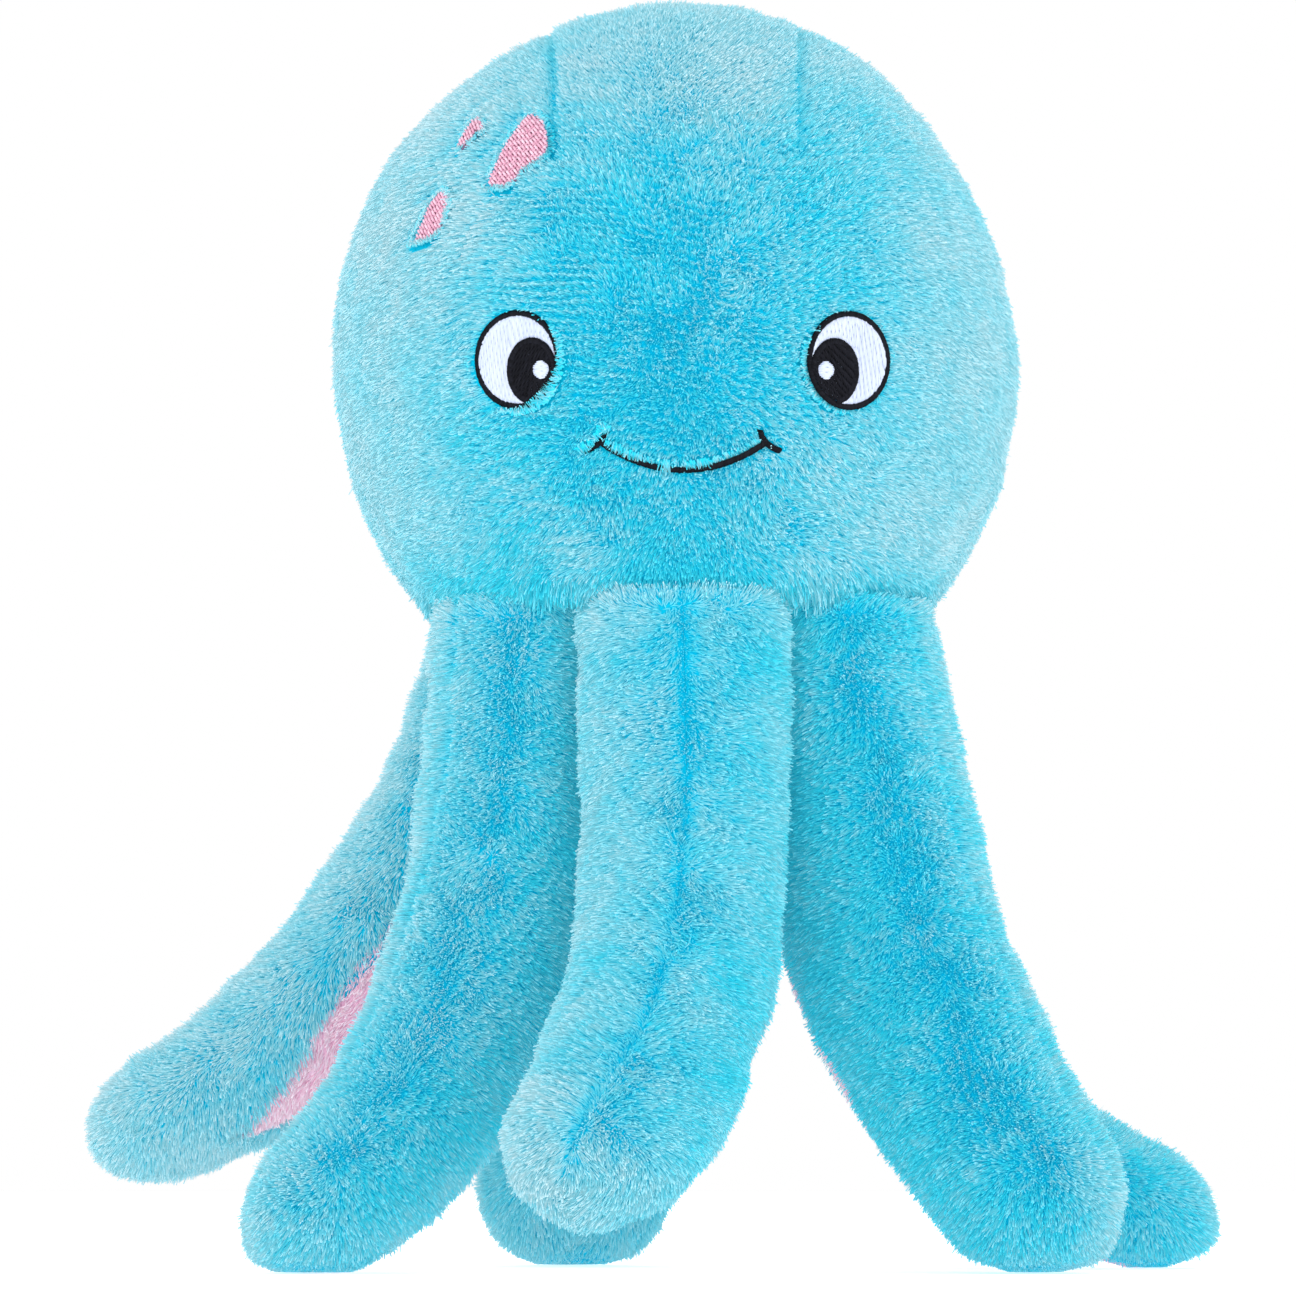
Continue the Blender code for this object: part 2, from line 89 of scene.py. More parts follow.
# One row for each arm.
# As in the frame: the azimuth in degrees; how far out its hip, knee and tip are; its round end's
# share of its belly's thickness; how far its knee and tip sway; the heights of its hip, its knee
# and its lowest point; and the turn of its underside panel in degrees.
# For its looks: bulges, where it is fuller or thinner than its frame (share along it, angle round
# it in degrees, height); its paleness, and what its tip adds to it; how strongly its tufts differ
# in tone; its side painted paler, a painted light (angle in degrees, change of tone); how far its
# pile leans over; and how the blue pile closes in on the pink underside (how much narrower each
# side is at the root and at the tip, the share of the arm where it starts to narrow, and how far
# before the tip it ends).
arm_rows = {
    "front_centre": {
        "azimuth": 270, "out": (0.036, 0.083, 0.452), "end": 0.70, "sway": (0.045, -0.155),
        "heights": (0.713, 0.330, 0.083), "under_turn": 0, "bulges": ((0.80, 0, -0.0012),),
        "tone": 0.36, "tip_tone": 0.36, "tufts": 0.16, "side": (180, 0.16), "lean": 0.64,
        "pink": (0.0015, 0.0060, 0.60, 0.026),
    },
    "front_left": {
        "azimuth": 210, "out": (0, 0.024, 0.425), "end": 0.78, "sway": (0, 0),
        "heights": (0.669, 0.318, 0), "under_turn": 0,
        "bulges": ((1.0, 120, -0.0010), (0.78, 125, -0.0034)),
        "tone": 0.42, "tip_tone": 0.16, "tufts": 0.24, "side": (150, 0.16), "lean": 0.44,
        "pink": (0.0030, 0.0100, 0.40, 0.012),
    },
    "front_right": {
        "azimuth": 330, "out": (0.020, 0.068, 0.393), "end": 0.86, "sway": (0, 0),
        "heights": (0.713, 0.395, 0), "under_turn": 0, "bulges": ((0.35, 60, 0.0024),),
        "tone": 0.24, "tip_tone": 0.18, "tufts": 0.25, "side": (20, 0.20), "lean": 0.42,
        "pink": (0.0165, 0.0165, 0.20, 0.018),
    },
    "back_left": {
        "azimuth": 150, "out": (0.028, 0.225, 0.658), "end": 0.64, "sway": (0, 0.143),
        "heights": (0.780, 0.340, 0.147), "under_turn": 20, "bulges": ((0.80, 75, -0.0016),),
        "tone": 0.74, "tip_tone": 0.16, "tufts": 0.15, "side": (60, 0.06), "lean": 0.58,
        "pink": (-0.0040, 0.0190, 0.60, 0.012),
    },
    "back_right": {
        "azimuth": 30, "out": (0.012, 0.130, 0.560), "end": 0.70, "sway": (0, -0.143),
        "heights": (0.637, 0.100, 0), "under_turn": 0, "bulges": ((0.85, 115, -0.0016),),
        "tone": 0.24, "tip_tone": 0.10, "tufts": 0.24, "side": (90, 0.08), "lean": 0.44,
        "pink": (0.0030, 0.0110, 0.50, 0.020),
    },
    "back_centre": {
        "azimuth": 90, "out": (0.036, 0.090, 0.440), "end": 0.80, "sway": (0, 0.215),
        "heights": (0.700, 0.330, 0), "under_turn": 0, "bulges": (),
        "tone": 0.46, "tip_tone": 0.16, "tufts": 0.16, "side": (0, 0), "lean": 0.58,
        "pink": (0.0010, 0.0050, 0.60, 0.085),
    },
}

thread_gap = 0.0003
thread_thickness = 0.0009
eye_spacing = 0.0754
eye_drop = 0.0060
eye_width = 0.0220
eye_height = 0.0226
eye_outline_radius = 0.0007
pupil_width = 0.0120
pupil_height = 0.0146
pupil_inset = 0.0040
pupil_drop = 0.0028
glint_diameter = 0.0034
glint_inset = 0.0063
glint_drop = 0.0026
mouth_width = 0.0372
mouth_sag = 0.0058
mouth_drop = 0.0313
mouth_line_radius = 0.0008
crease_length = 0.0074
crease_line_radius = 0.0006
crease_angle_deg = 46
crease_rise = 0.0004
spot_turn_deg = 52

# How the real toy's stuffing swells or sinks, in millimetres from the head's centre, with the reach
# and height of each swelling in metres
head_bulges = (
    ((29, -20, 78), 0.024, 0.0022),
    ((-77, 0, 26), 0.026, 0.0015),
    ((-62, 0, 58), 0.022, 0.0012),
    ((-38, 0, 75), 0.017, -0.0017),
    ((73, 0, 30), 0.020, -0.0010),
)
# Creases in the pile, as lines in millimetres from the head's centre, with their strength; along
# them the pile is lower and painted darker, a painted shade in the groove
creases = (
    (((-35.6, -47.9, 54.2), (-39.7, -48.7, 49.9), (-43.9, -49.8, 44.3)), 1.0),
    (((-54.7, -43.6, 38.0), (-58.8, -40.1, 35.7)), 0.7),
    (((-60.8, -42.4, 27.9), (-63.8, -40.2, 23.5)), 0.7),
    (((-51.6, -40.3, 46.5), (-49.8, -36.2, 52.3), (-45.9, -34.9, 57.2), (-37.7, -34.5, 63.9)), 0.5),
)
# Paler and deeper places of the nap: across and up from the head's centre, reach, change of tone
nap_places = (
    (0.0109, 0.0112, 0.0100, 0.22),
    (-0.0210, -0.0510, 0.0095, 0.42),
    (0.0350, -0.0390, 0.0210, 0.30),
    (-0.0480, 0.0350, 0.0260, 0.34),
    (-0.0040, -0.0010, 0.0270, -0.18),
    (-0.0310, -0.0390, 0.0170, -0.12),
    (0.0010, -0.0500, 0.0140, -0.20),
    (0.0060, 0.0560, 0.0220, 0.30),
    (-0.0150, 0.0260, 0.0110, -0.16),
    (0.0560, 0.0120, 0.0130, 0.10),
)
# Over the middle of each arm's root the head's pile is painted deeper, a painted shade that is full
# up to this height over the neck; between arms the head's pile hangs down
shade_full_height = 0.0020
root_drop = 0.0014

neck_centre = Vector((neck_x, 0, 0))
head_x = neck_x - head_lean
head_centre = np.array((head_x, 0, neck_height + head_rise))
head_radii = np.array((head_width, head_depth, head_height)) / 2
crown_height = head_centre[2] + head_radii[2] - crown_drop
base_rim = head_radii[:2] * math.sqrt(1 - (head_rise / head_radii[2]) ** 2) - (
    plush_thickness + base_clearance
)
ridge = math.pi / 2
under_start = 3 * math.pi / 2 - math.radians(under_panel_deg) / 2
under_end = 3 * math.pi / 2 + math.radians(under_panel_deg) / 2

# The pile: cloth lies this deep under the frame's surface, and strands stand on it
cloth_depth = 0.0002
root_depth = 0.0004
face_pitch = 0.00042
back_pitch = 0.00052
front_arm_pitch = 0.00044
back_arm_pitch = 0.00052
under_pitch = 0.00058
clump_length = 0.0017
clump_pull = 0.00032
blunt_share = 0.25
head_strand_length = 0.0030
head_strand_width = 0.00052
arm_strand_length = 0.0034
arm_strand_width = 0.00054
fallen_rise = 0.0019
cloth_gap = 0.00004
most_strands = 66000
floor_clearance = 0.0003
cloth_clearance = 0.0008

golden_turn = np.pi * (1 + 5**0.5)
field_wave_count = 14
field_peak = 1.6

rng = np.random.default_rng(20)


def unit(v):
    """Vectors of an array, made one long."""
    return v / np.maximum(np.linalg.norm(v, axis=-1, keepdims=True), 1e-12)


def smooth(share):
    """An even step from 0 to 1 as share goes from 0 to 1."""
    share = np.clip(share, 0, 1)
    return share * share * (3 - 2 * share)


def hill(distance, reach):
    """1 at no distance, and falling away round reach."""
    return np.exp(-((distance / reach) ** 2))


def wrapped(angle):
    """Angles brought between minus and plus half a turn."""
    return (angle + np.pi) % (2 * np.pi) - np.pi


def off_segment(points, a, b):
    """The ways to points from the nearest place of the line from a to b."""
    edge = b - a
    share = np.clip((points - a) @ edge / max(edge @ edge, 1e-18), 0, 1)[:, None]
    return points - a - share * edge


def corner_map(flat, faces):
    """The map of every face corner, from the map of every point."""
    return np.concatenate([flat[f.ravel()] for f in faces])


def field_waves(wavelength, seed, slowest, fastest):
    """Ways, paces and starts of the waves that add up to a random field, the same for a seed."""
    own = np.random.default_rng(seed)
    ways = unit(own.normal(size=(field_wave_count, 3)))
    pace = 2 * np.pi / wavelength * own.uniform(slowest, fastest, field_wave_count)
    return list(zip(ways, pace, own.uniform(0, 2 * np.pi, field_wave_count)))


def noise(points, wavelength, seed):
    """A soft random field of points, about -1 to 1."""
    total = np.zeros(len(points))
    for way, speed, first in field_waves(wavelength, seed, 0.6, 1.5):
        total += np.sin(points @ way * speed + first)
    return total / math.sqrt(field_wave_count / 2) / field_peak


def clumps(points, wavelength, seed):
    """A more even field of points, and its slope as a share of the field's own steepness."""
    total, slope = np.zeros(len(points)), np.zeros((len(points), 3))
    for way, speed, first in field_waves(wavelength, seed, 0.7, 1.3):
        turn = points @ way * speed + first
        total += np.sin(turn)
        slope += np.cos(turn)[:, None] * way * (speed * wavelength / (2 * np.pi))
    scale = math.sqrt(field_wave_count / 2)
    return total / scale / field_peak, slope / scale


def noise_way(points, wavelength, seed):
    """A soft random field of vectors."""
    return np.stack([noise(points, wavelength, seed + axis) for axis in range(3)], 1)


# Materials


def colour(r, g, b):
    """Linear colour of screen values from 0 to 255."""
    rgb = [c / 255 for c in (r, g, b)]
    return [c / 12.92 if c <= 0.04045 else ((c + 0.055) / 1.055) ** 2.4 for c in rgb] + [1.0]


def new_material(name):
    made = bpy.data.materials.new(name)
    made.use_nodes = True
    return made, made.node_tree, made.node_tree.nodes["Principled BSDF"]


def ramp(tree, factor, stops):
    made = tree.nodes.new("ShaderNodeValToRGB")
    for index, (place, rgb) in enumerate(stops):
        if index < 2:
            element = made.color_ramp.elements[index]
            element.position = place
        else:
            element = made.color_ramp.elements.new(place)
        element.color = rgb
    tree.links.new(factor, made.inputs["Fac"])
    return made.outputs["Color"]


def mixed(tree, factor, a, b):
    made = tree.nodes.new("ShaderNodeMix")
    made.data_type = "RGBA"
    tree.links.new(factor, made.inputs["Factor"])
    for value, socket in ((a, made.inputs["A"]), (b, made.inputs["B"])):
        if isinstance(value, bpy.types.NodeSocket):
            tree.links.new(value, socket)
        else:
            socket.default_value = value
    return made.outputs["Result"]


def strand_material(name, deep, pale, roughness, gloss, glow=None):
    """Colour by the strand map. deep and pale are root-to-tip ramps of the extreme tones."""
    made, tree, shader = new_material(name)
    place = tree.nodes.new("ShaderNodeUVMap")
    place.uv_map = "OFBake"
    parts = tree.nodes.new("ShaderNodeSeparateXYZ")
    tree.links.new(place.outputs["UV"], parts.inputs["Vector"])
    low = ramp(tree, parts.outputs["Y"], deep)
    high = ramp(tree, parts.outputs["Y"], pale)
    tree.links.new(mixed(tree, parts.outputs["X"], low, high), shader.inputs["Base Color"])
    shader.inputs["Roughness"].default_value = roughness
    shader.inputs["Specular IOR Level"].default_value = gloss
    # glow is painted light: a constant emission, though the strands are no lamp.
    if glow:
        shader.inputs["Emission Color"].default_value = glow
        shader.inputs["Emission Strength"].default_value = 1
    return made


def cloth_material(name, dark, light, weave, glow=None):
    """Knitted backing: fine rows of loops with cloudy colour."""
    made, tree, shader = new_material(name)
    place = tree.nodes.new("ShaderNodeTexCoord")
    cloud = tree.nodes.new("ShaderNodeTexNoise")
    cloud.inputs["Scale"].default_value = 140
    cloud.inputs["Detail"].default_value = 3
    tree.links.new(place.outputs["Object"], cloud.inputs["Vector"])
    tree.links.new(
        ramp(tree, cloud.outputs["Fac"], ((0.3, dark), (0.7, light))), shader.inputs["Base Color"]
    )
    knit = tree.nodes.new("ShaderNodeTexVoronoi")
    knit.inputs["Scale"].default_value = 1 / weave
    tree.links.new(place.outputs["Object"], knit.inputs["Vector"])
    bump = tree.nodes.new("ShaderNodeBump")
    bump.inputs["Distance"].default_value = weave / 3
    bump.inputs["Strength"].default_value = 0.6
    tree.links.new(knit.outputs["Distance"], bump.inputs["Height"])
    tree.links.new(bump.outputs["Normal"], shader.inputs["Normal"])
    shader.inputs["Roughness"].default_value = 0.95
    shader.inputs["Specular IOR Level"].default_value = 0.1
    # glow is painted light: a constant emission, though the cloth is no lamp.
    if glow:
        shader.inputs["Emission Color"].default_value = glow
        shader.inputs["Emission Strength"].default_value = 1
    return made


# The blue pile glows a little: painted light, a constant cyan emission that lifts the shade between
# the strands.
blue_pile = strand_material(
    "blue_pile",
    ((0, colour(0, 197, 220)), (1, colour(66, 210, 229)), (0.5, colour(0, 201, 225))),
    ((0, colour(112, 203, 217)), (1, colour(206, 219, 224)), (0.4, colour(172, 210, 220))),
    0.95,
    0.05,
    (0.012, 0.14, 0.17, 1),
)
# The pink pile glows a little too: painted light that lifts the shade between its strands.
pink_pile = strand_material(
    "pink_pile",
    ((0, colour(238, 194, 216)), (1, colour(250, 228, 238))),
    ((0, colour(246, 214, 230)), (1, colour(253, 242, 247))),
    0.95,
    0.05,
    (0.12, 0.06, 0.09, 1),
)
# Threads, by the names of their slots
# The white and pink threads are painted lighter at the middle of each stitch, a painted highlight
# on its raised crown, and darker towards its ends, a painted shade where it dips into the cloth
thread_rows = (
    (
        "white_thread",
        ((0, colour(176, 188, 216)), (1, colour(190, 200, 224)), (0.5, colour(196, 206, 228))),
        ((0, colour(196, 206, 230)), (1, colour(206, 214, 234)), (0.5, colour(214, 222, 240))),
        0.6,
        0.15,
    ),
    (
        "black_thread",
        ((0, colour(6, 7, 12)), (1, colour(10, 11, 16))),
        ((0, colour(16, 17, 24)), (1, colour(34, 35, 44))),
        0.55,
        0.08,
    ),
    (
        "pink_thread",
        ((0, colour(196, 128, 158)), (1, colour(204, 136, 166)), (0.5, colour(222, 160, 186))),
        ((0, colour(226, 178, 200)), (1, colour(230, 184, 206)), (0.5, colour(246, 216, 230))),
        0.6,
        0.15,
    ),
)
thread_materials = {row[0]: strand_material(*row) for row in thread_rows}
# The blue backing glows a little: painted light that lifts the shade deep in the pile.
blue_cloth = cloth_material(
    "blue_cloth", colour(0, 176, 208), colour(0, 186, 218), 0.0008, (0.0, 0.04, 0.06, 1)
)
pink_cloth = cloth_material("pink_cloth", colour(232, 176, 204), colour(244, 204, 224), 0.0008)
fibre = cloth_material("fibre", colour(214, 214, 208), colour(244, 244, 240), 0.0016)


# Meshes


def new_piece(name, points, faces, uv, material, crisp=False):
    """A mesh object of numpy arrays. faces is a list of index arrays, each of one face size."""
    mesh = bpy.data.meshes.new(name)
    mesh.vertices.add(len(points))
    mesh.vertices.foreach_set("co", np.asarray(points, np.float32).ravel())
    corners = np.concatenate([f.ravel() for f in faces]).astype(np.int32)
    sizes = np.concatenate([np.full(len(f), f.shape[1]) for f in faces]).astype(np.int32)
    starts = np.concatenate([[0], np.cumsum(sizes)[:-1]]).astype(np.int32)
    mesh.loops.add(len(corners))
    mesh.loops.foreach_set("vertex_index", corners)
    mesh.polygons.add(len(sizes))
    mesh.polygons.foreach_set("loop_start", starts)
    if uv is not None:
        layer = mesh.uv_layers.new(name="OFBake", do_init=False)
        layer.uv.foreach_set("vector", np.asarray(uv, np.float32).ravel())
    mesh.update(calc_edges=True)
    mesh.shade_smooth()
    if crisp:
        mesh.set_sharp_from_angle(angle=math.radians(50))
    mesh.materials.append(material)
    piece = bpy.data.objects.new(name, mesh)
    bpy.context.scene.collection.objects.link(piece)
    return piece


def strand_mesh(name, roots, tips, widths, tones, material):
    """Strands of three sides, some pointed at the tip and some widest there."""
    count = len(roots)
    way = unit(tips - roots)
    side = unit(np.cross(way, rng.normal(size=(count, 3))))
    other = np.cross(way, side)
    blunt = rng.uniform(size=count) < blunt_share
    ring = np.where(blunt[:, None], tips, roots)
    radius = (widths * np.where(blunt, 0.30, 0.50))[:, None]
    points = np.empty((count, 4, 3))
    for corner in range(3):
        turn = 2 * math.pi * corner / 3
        points[:, corner] = ring + (side * math.cos(turn) + other * math.sin(turn)) * radius
    points[:, 3] = np.where(blunt[:, None], roots, tips)
    points[:, :, 2] = np.maximum(points[:, :, 2], floor_clearance)
    sides = np.array(((0, 1, 3), (1, 2, 3), (2, 0, 3)))
    first = np.arange(count)[:, None, None] * 4
    faces = first + np.where(blunt[:, None, None], sides[:, ::-1], sides)
    caps = first[blunt] + np.array((0, 1, 2))
    faces = np.concatenate([faces.reshape(-1, 3), caps.reshape(-1, 3)])
    u = 0.03 + 0.94 * np.clip(tones, 0, 1)
    across = np.array((-0.012, 0.0, 0.012, 0.0))
    up = np.where(blunt[:, None], (0.94, 0.94, 0.94, 0.01), (0.01, 0.01, 0.01, 0.99))
    flat = np.stack([u[:, None] + across, up], 2).reshape(-1, 2)
    return new_piece(name, points.reshape(-1, 3), [faces], flat[faces.ravel()], material)


def grid_faces(rows, columns, closed):
    """Quads of a grid of points, row by row. closed joins the last column to the first."""
    across = columns if closed else columns - 1
    r, c = np.meshgrid(np.arange(rows - 1), np.arange(across), indexing="ij")
    after = (c + 1) % columns
    a = (r * columns + c).ravel()
    b = (r * columns + after).ravel()
    d = ((r + 1) * columns + c).ravel()
    e = ((r + 1) * columns + after).ravel()
    return np.stack([a, b, e, d], 1)


# The head


def head_place(ways, outset):
    """Points of the head's surface along ways from its centre, raised by outset."""
    outset = np.broadcast_to(np.asarray(outset, float), len(ways))[:, None]
    reach = np.sqrt(((ways / (head_radii + outset)) ** 2).sum(1, keepdims=True))
    return head_centre + ways / reach


def head_normal(points):
    return unit((points - head_centre) / head_radii**2)


def leant(points):
    """The head's top leans a little to the left."""
    moved = points.copy()
    moved[:, 0] -= 0.0006 * smooth((points[:, 2] - 0.235) / 0.055)
    return moved


def on_crown(points):
    """Which points of the head are on its crown panel."""
    return (np.abs(points[:, 0] - head_x) < crown_width / 2) & (points[:, 2] > crown_height)


def head_parting(points):
    """How strongly the pile parts at points of the head, from 0 to 1: at seams and old creases."""
    over_crown = on_crown(points)
    off_middle = np.abs(points[:, 0] - head_x)
    off_side = np.abs(off_middle - crown_width / 2)
    side_gap = np.hypot(off_side, np.maximum(crown_height - points[:, 2], 0))
    end_gap = np.abs(crown_height - points[:, 2])
    end_gap = np.hypot(end_gap, np.maximum(off_middle - crown_width / 2, 0))
    front = points[:, 1] < 0
    far = 1.0
    found = np.where(points[:, 0] < head_x, 1.0, 0.75) * hill(side_gap, 0.0013)
    found = np.maximum(found, np.where(front, 0.30, 0.7) * hill(end_gap, 0.0014))
    found = np.maximum(found, 0.45 * hill(np.where(over_crown, far, np.abs(points[:, 1])), 0.0012))
    found = np.maximum(found, 0.9 * hill(np.where(over_crown | front, far, off_middle), 0.0013))
    for line, strength in creases:
        line = np.array(line) / 1000 + head_centre
        for a, b in zip(line, line[1:]):
            gap = np.linalg.norm(off_segment(points, a, b), axis=1)
            found = np.maximum(found, strength * hill(gap, 0.0012))

    # Faint at the very top, where it would notch the outline
    top = smooth((points[:, 2] - 0.272) / 0.012) * smooth(1 - np.abs(points[:, 1]) / 0.045)
    return found * (1 - 0.85 * top)


def head_relief(points):
    """How far the stuffed head's cloth stands over the frame's smooth surface."""
    lumps = 0.0006 * noise(points, 0.055, 5) + 0.0003 * noise(points, 0.020, 6)
    for place, reach, height in head_bulges:
        gap = np.linalg.norm(points - head_centre - np.array(place) / 1000, axis=1)
        lumps = lumps + height * hill(gap, reach)
    return lumps - 0.0016 * head_parting(points)


def head_cloth_point(points):
    """Points of the frame's head surface, moved to the cloth under the pile."""
    ways = unit(points - head_centre)
    depth = np.linalg.norm(points - head_place(ways, 0), axis=1)
    return leant(head_place(ways, head_relief(points) - cloth_depth - depth))


def head_ball(sides, rings):
    ball = bmesh.new()
    turn = Matrix.Rotation(math.pi / sides, 4, "Z")
    bmesh.ops.create_uvsphere(ball, u_segments=sides, v_segments=rings, radius=1, matrix=turn)
    for point in ball.verts:
        point.co = Vector(head_centre) + point.co * Vector(head_radii)
    return ball


def split(made, point, normal, fill=False, clear=False):
    everything = made.verts[:] + made.edges[:] + made.faces[:]
    cut = bmesh.ops.bisect_plane(
        made, geom=everything, plane_co=point, plane_no=normal, clear_outer=clear
    )
    if fill:
        edges = [item for item in cut["geom_cut"] if isinstance(item, bmesh.types.BMEdge)]
        bmesh.ops.holes_fill(made, edges=edges)


def in_crown(point, margin):
    beside = abs(point.x - head_x) < crown_width / 2 + margin
    return beside and point.z > crown_height - margin


def head_panel(kind, side=0):
    """One cloth panel of the head, as an open bmesh on the frame's surface."""
    half_gap = cloth_gap / 2
    made = head_ball(96, 56)
    margin = -half_gap if kind == "crown" else half_gap
    if kind != "crown":
        split(made, Vector((0, 0, neck_height)), (0, 0, -1), clear=True)
        facing = -1 if kind == "face" else 1
        split(made, Vector((0, facing * half_gap, 0)), (0, -facing, 0), clear=True)
    if kind == "back":
        split(made, Vector((head_x + side * half_gap, 0, 0)), (-side, 0, 0), clear=True)
    for edge_side in (-1, 1):
        edge = Vector((head_x + edge_side * (crown_width / 2 + margin), 0, 0))
        split(made, edge, (1, 0, 0))
    split(made, Vector((0, 0, crown_height - margin)), (0, 0, 1))
    wanted = kind == "crown"
    dropped = [f for f in made.faces if in_crown(f.calc_center_median(), margin) != wanted]
    bmesh.ops.delete(made, geom=dropped, context="FACES")
    bmesh.ops.triangulate(made, faces=[f for f in made.faces if len(f.verts) > 4])
    return made


def head_map(ways):
    """Where ways from the head's centre are on the head's baking map."""
    u = np.arctan2(ways[:, 0], -ways[:, 1]) / (2 * np.pi) + 0.5
    return np.stack([u, 0.5 + 0.45 * ways[:, 2] / head_radii[2]], 1)


def shell_of(name, made, material, thickness):
    """Turn an open bmesh into a closed shell whose outer side is the bmesh, with a baking map."""
    made.verts.ensure_lookup_table()
    outer = np.array([v.co for v in made.verts])
    normals = head_normal(outer)
    inner = outer - normals * thickness
    count = len(outer)
    by_size = {}
    for face in made.faces:
        loop = [v.index for v in face.verts]
        by_size.setdefault(len(loop), []).append(loop)
        by_size[len(loop)].append([count + i for i in reversed(loop)])
    rim = []
    for edge in made.edges:
        if edge.is_boundary:
            loop = edge.link_loops[0]
            a, b = loop.vert.index, loop.link_loop_next.vert.index
            rim.append([b, a, count + a, count + b])
    by_size.setdefault(4, []).extend(rim)
    made.free()
    faces = [np.array(f) for f in by_size.values()]
    points = np.concatenate([outer, inner])
    uv = corner_map(head_map(points - head_centre), faces)
    return new_piece(name, points, faces, uv, material, crisp=True)


def add_head_cloth():
    for node, kind, side in (
        ("face_panel", "face", 0),
        ("crown_panel", "crown", 0),
        ("back_panel_left", "back", -1),
        ("back_panel_right", "back", 1),
    ):
        made = head_panel(kind, side)
        made.verts.ensure_lookup_table()
        placed = head_cloth_point(np.array([v.co for v in made.verts]))
        for vert, place in zip(made.verts, placed):
            vert.co = place
        made.verts.index_update()
        piece = shell_of(f"{node}_cloth", made, blue_cloth, plush_thickness - cloth_depth)
        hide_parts(node)
        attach(piece, "head")


def add_head_filling():
    inset = plush_thickness + stuffing_clearance
    floor = neck_height + inset
    made = head_ball(64, 40)
    split(made, Vector((0, 0, floor)), (0, 0, -1), fill=True, clear=True)
    bmesh.ops.triangulate(made, faces=[f for f in made.faces if len(f.verts) > 4])
    made.verts.ensure_lookup_table()
    made.verts.index_update()
    ways = np.array([v.co for v in made.verts]) - head_centre
    shrunk = head_centre + ways * (1 - inset / head_radii)
    lumps = 0.0006 * noise(shrunk, 0.016, 9) - 0.0006
    shrunk += unit(ways) * lumps[:, None]
    shrunk[:, 2] = np.maximum(shrunk[:, 2], floor)
    by_size = {}
    for face in made.faces:
        by_size.setdefault(len(face.verts), []).append([v.index for v in face.verts])
    made.free()
    faces = [np.array(f) for f in by_size.values()]
    uv = corner_map(head_map(ways), faces)
    piece = new_piece("head_filling", leant(shrunk), faces, uv, fibre)
    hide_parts("head_stuffing")
    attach(piece, "head")


def add_base_cloth():
    """The pink cloth that closes the head at the neck: a round pad with a soft edge."""
    sides = 72
    turns = np.arange(sides) * 2 * np.pi / sides
    rows = []
    for reach, height in ((0.02, 0), (0.3, 0), (0.6, 0), (0.85, 0), (0.98, 0.0005), (1, 0.0018)):
        rows.append((reach, neck_height + height))
    rows += [(reach, 2 * neck_height + plush_thickness - height) for reach, height in rows[::-1]]
    rings = []
    for reach, height in rows:
        ring = np.stack([np.cos(turns) * base_rim[0], np.sin(turns) * base_rim[1], 0 * turns], 1)
        rings.append(ring * reach + np.array((head_x, 0, height)))
    points = np.concatenate(rings)
    ends = [np.arange(sides)[None], (np.arange(sides) + (len(rows) - 1) * sides)[None, ::-1]]
    faces = [grid_faces(len(rows), sides, True)[:, ::-1], *ends]
    flat = (points[:, :2] - np.array((head_x, 0))) / base_rim / 2.1 + 0.5
    piece = new_piece("base_panel_cloth", points, faces, corner_map(flat, faces), pink_cloth)
    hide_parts("base_panel")
    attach(piece, "head")


# The arms, each in its own frame: X out from the neck, Y round it, Z up, origin on the root's hinge


def eased(start, end, share):
    return start + (end - start) * smooth(share)


def bezier(points, share):
    rest = 1 - share
    weights = (rest**3, 3 * share * rest**2, 3 * share**2 * rest, share**3)
    return sum((point * weight for point, weight in zip(points, weights)), Vector())


def arm_curve(row):
    hip_out, knee_out, tip_out = [share * arm_length for share in row["out"]]
    knee_side, tip_side = [share * arm_length for share in row["sway"]]
    heights = [share * neck_height - neck_height for share in row["heights"]]
    hip_height, knee_height, lowest = heights
    root = Vector((-arm_root_thickness / 2, 0, -seam_gap))
    hip = Vector((root.x + hip_out, 0, hip_height))
    knee = Vector((root.x + knee_out, knee_side, knee_height))
    tip_height = lowest + arm_belly_thickness * row["end"] / 2
    tip = Vector((root.x + tip_out, tip_side, tip_height))
    controls = (root, hip, knee, tip)
    return [bezier(controls, step / curve_steps) for step in range(curve_steps + 1)]


def arm_half_width(share):
    share = np.asarray(share, float)
    past = (share - arm_waist_share) / (arm_paw_share - arm_waist_share)
    upper = eased(arm_root_width, arm_waist_width, share / arm_waist_share)
    lower = eased(arm_waist_width, arm_paw_width, past)
    return np.where(share < arm_waist_share, upper, lower) / 2


def arm_half_thickness(share, end_thickness):
    share = np.asarray(share, float)
    past = (share - arm_belly_share) / (arm_paw_share - arm_belly_share)
    upper = eased(arm_root_thickness, arm_belly_thickness, share / arm_belly_share)
    lower = eased(arm_belly_thickness, end_thickness, past)
    return np.where(share < arm_belly_share, upper, lower) / 2


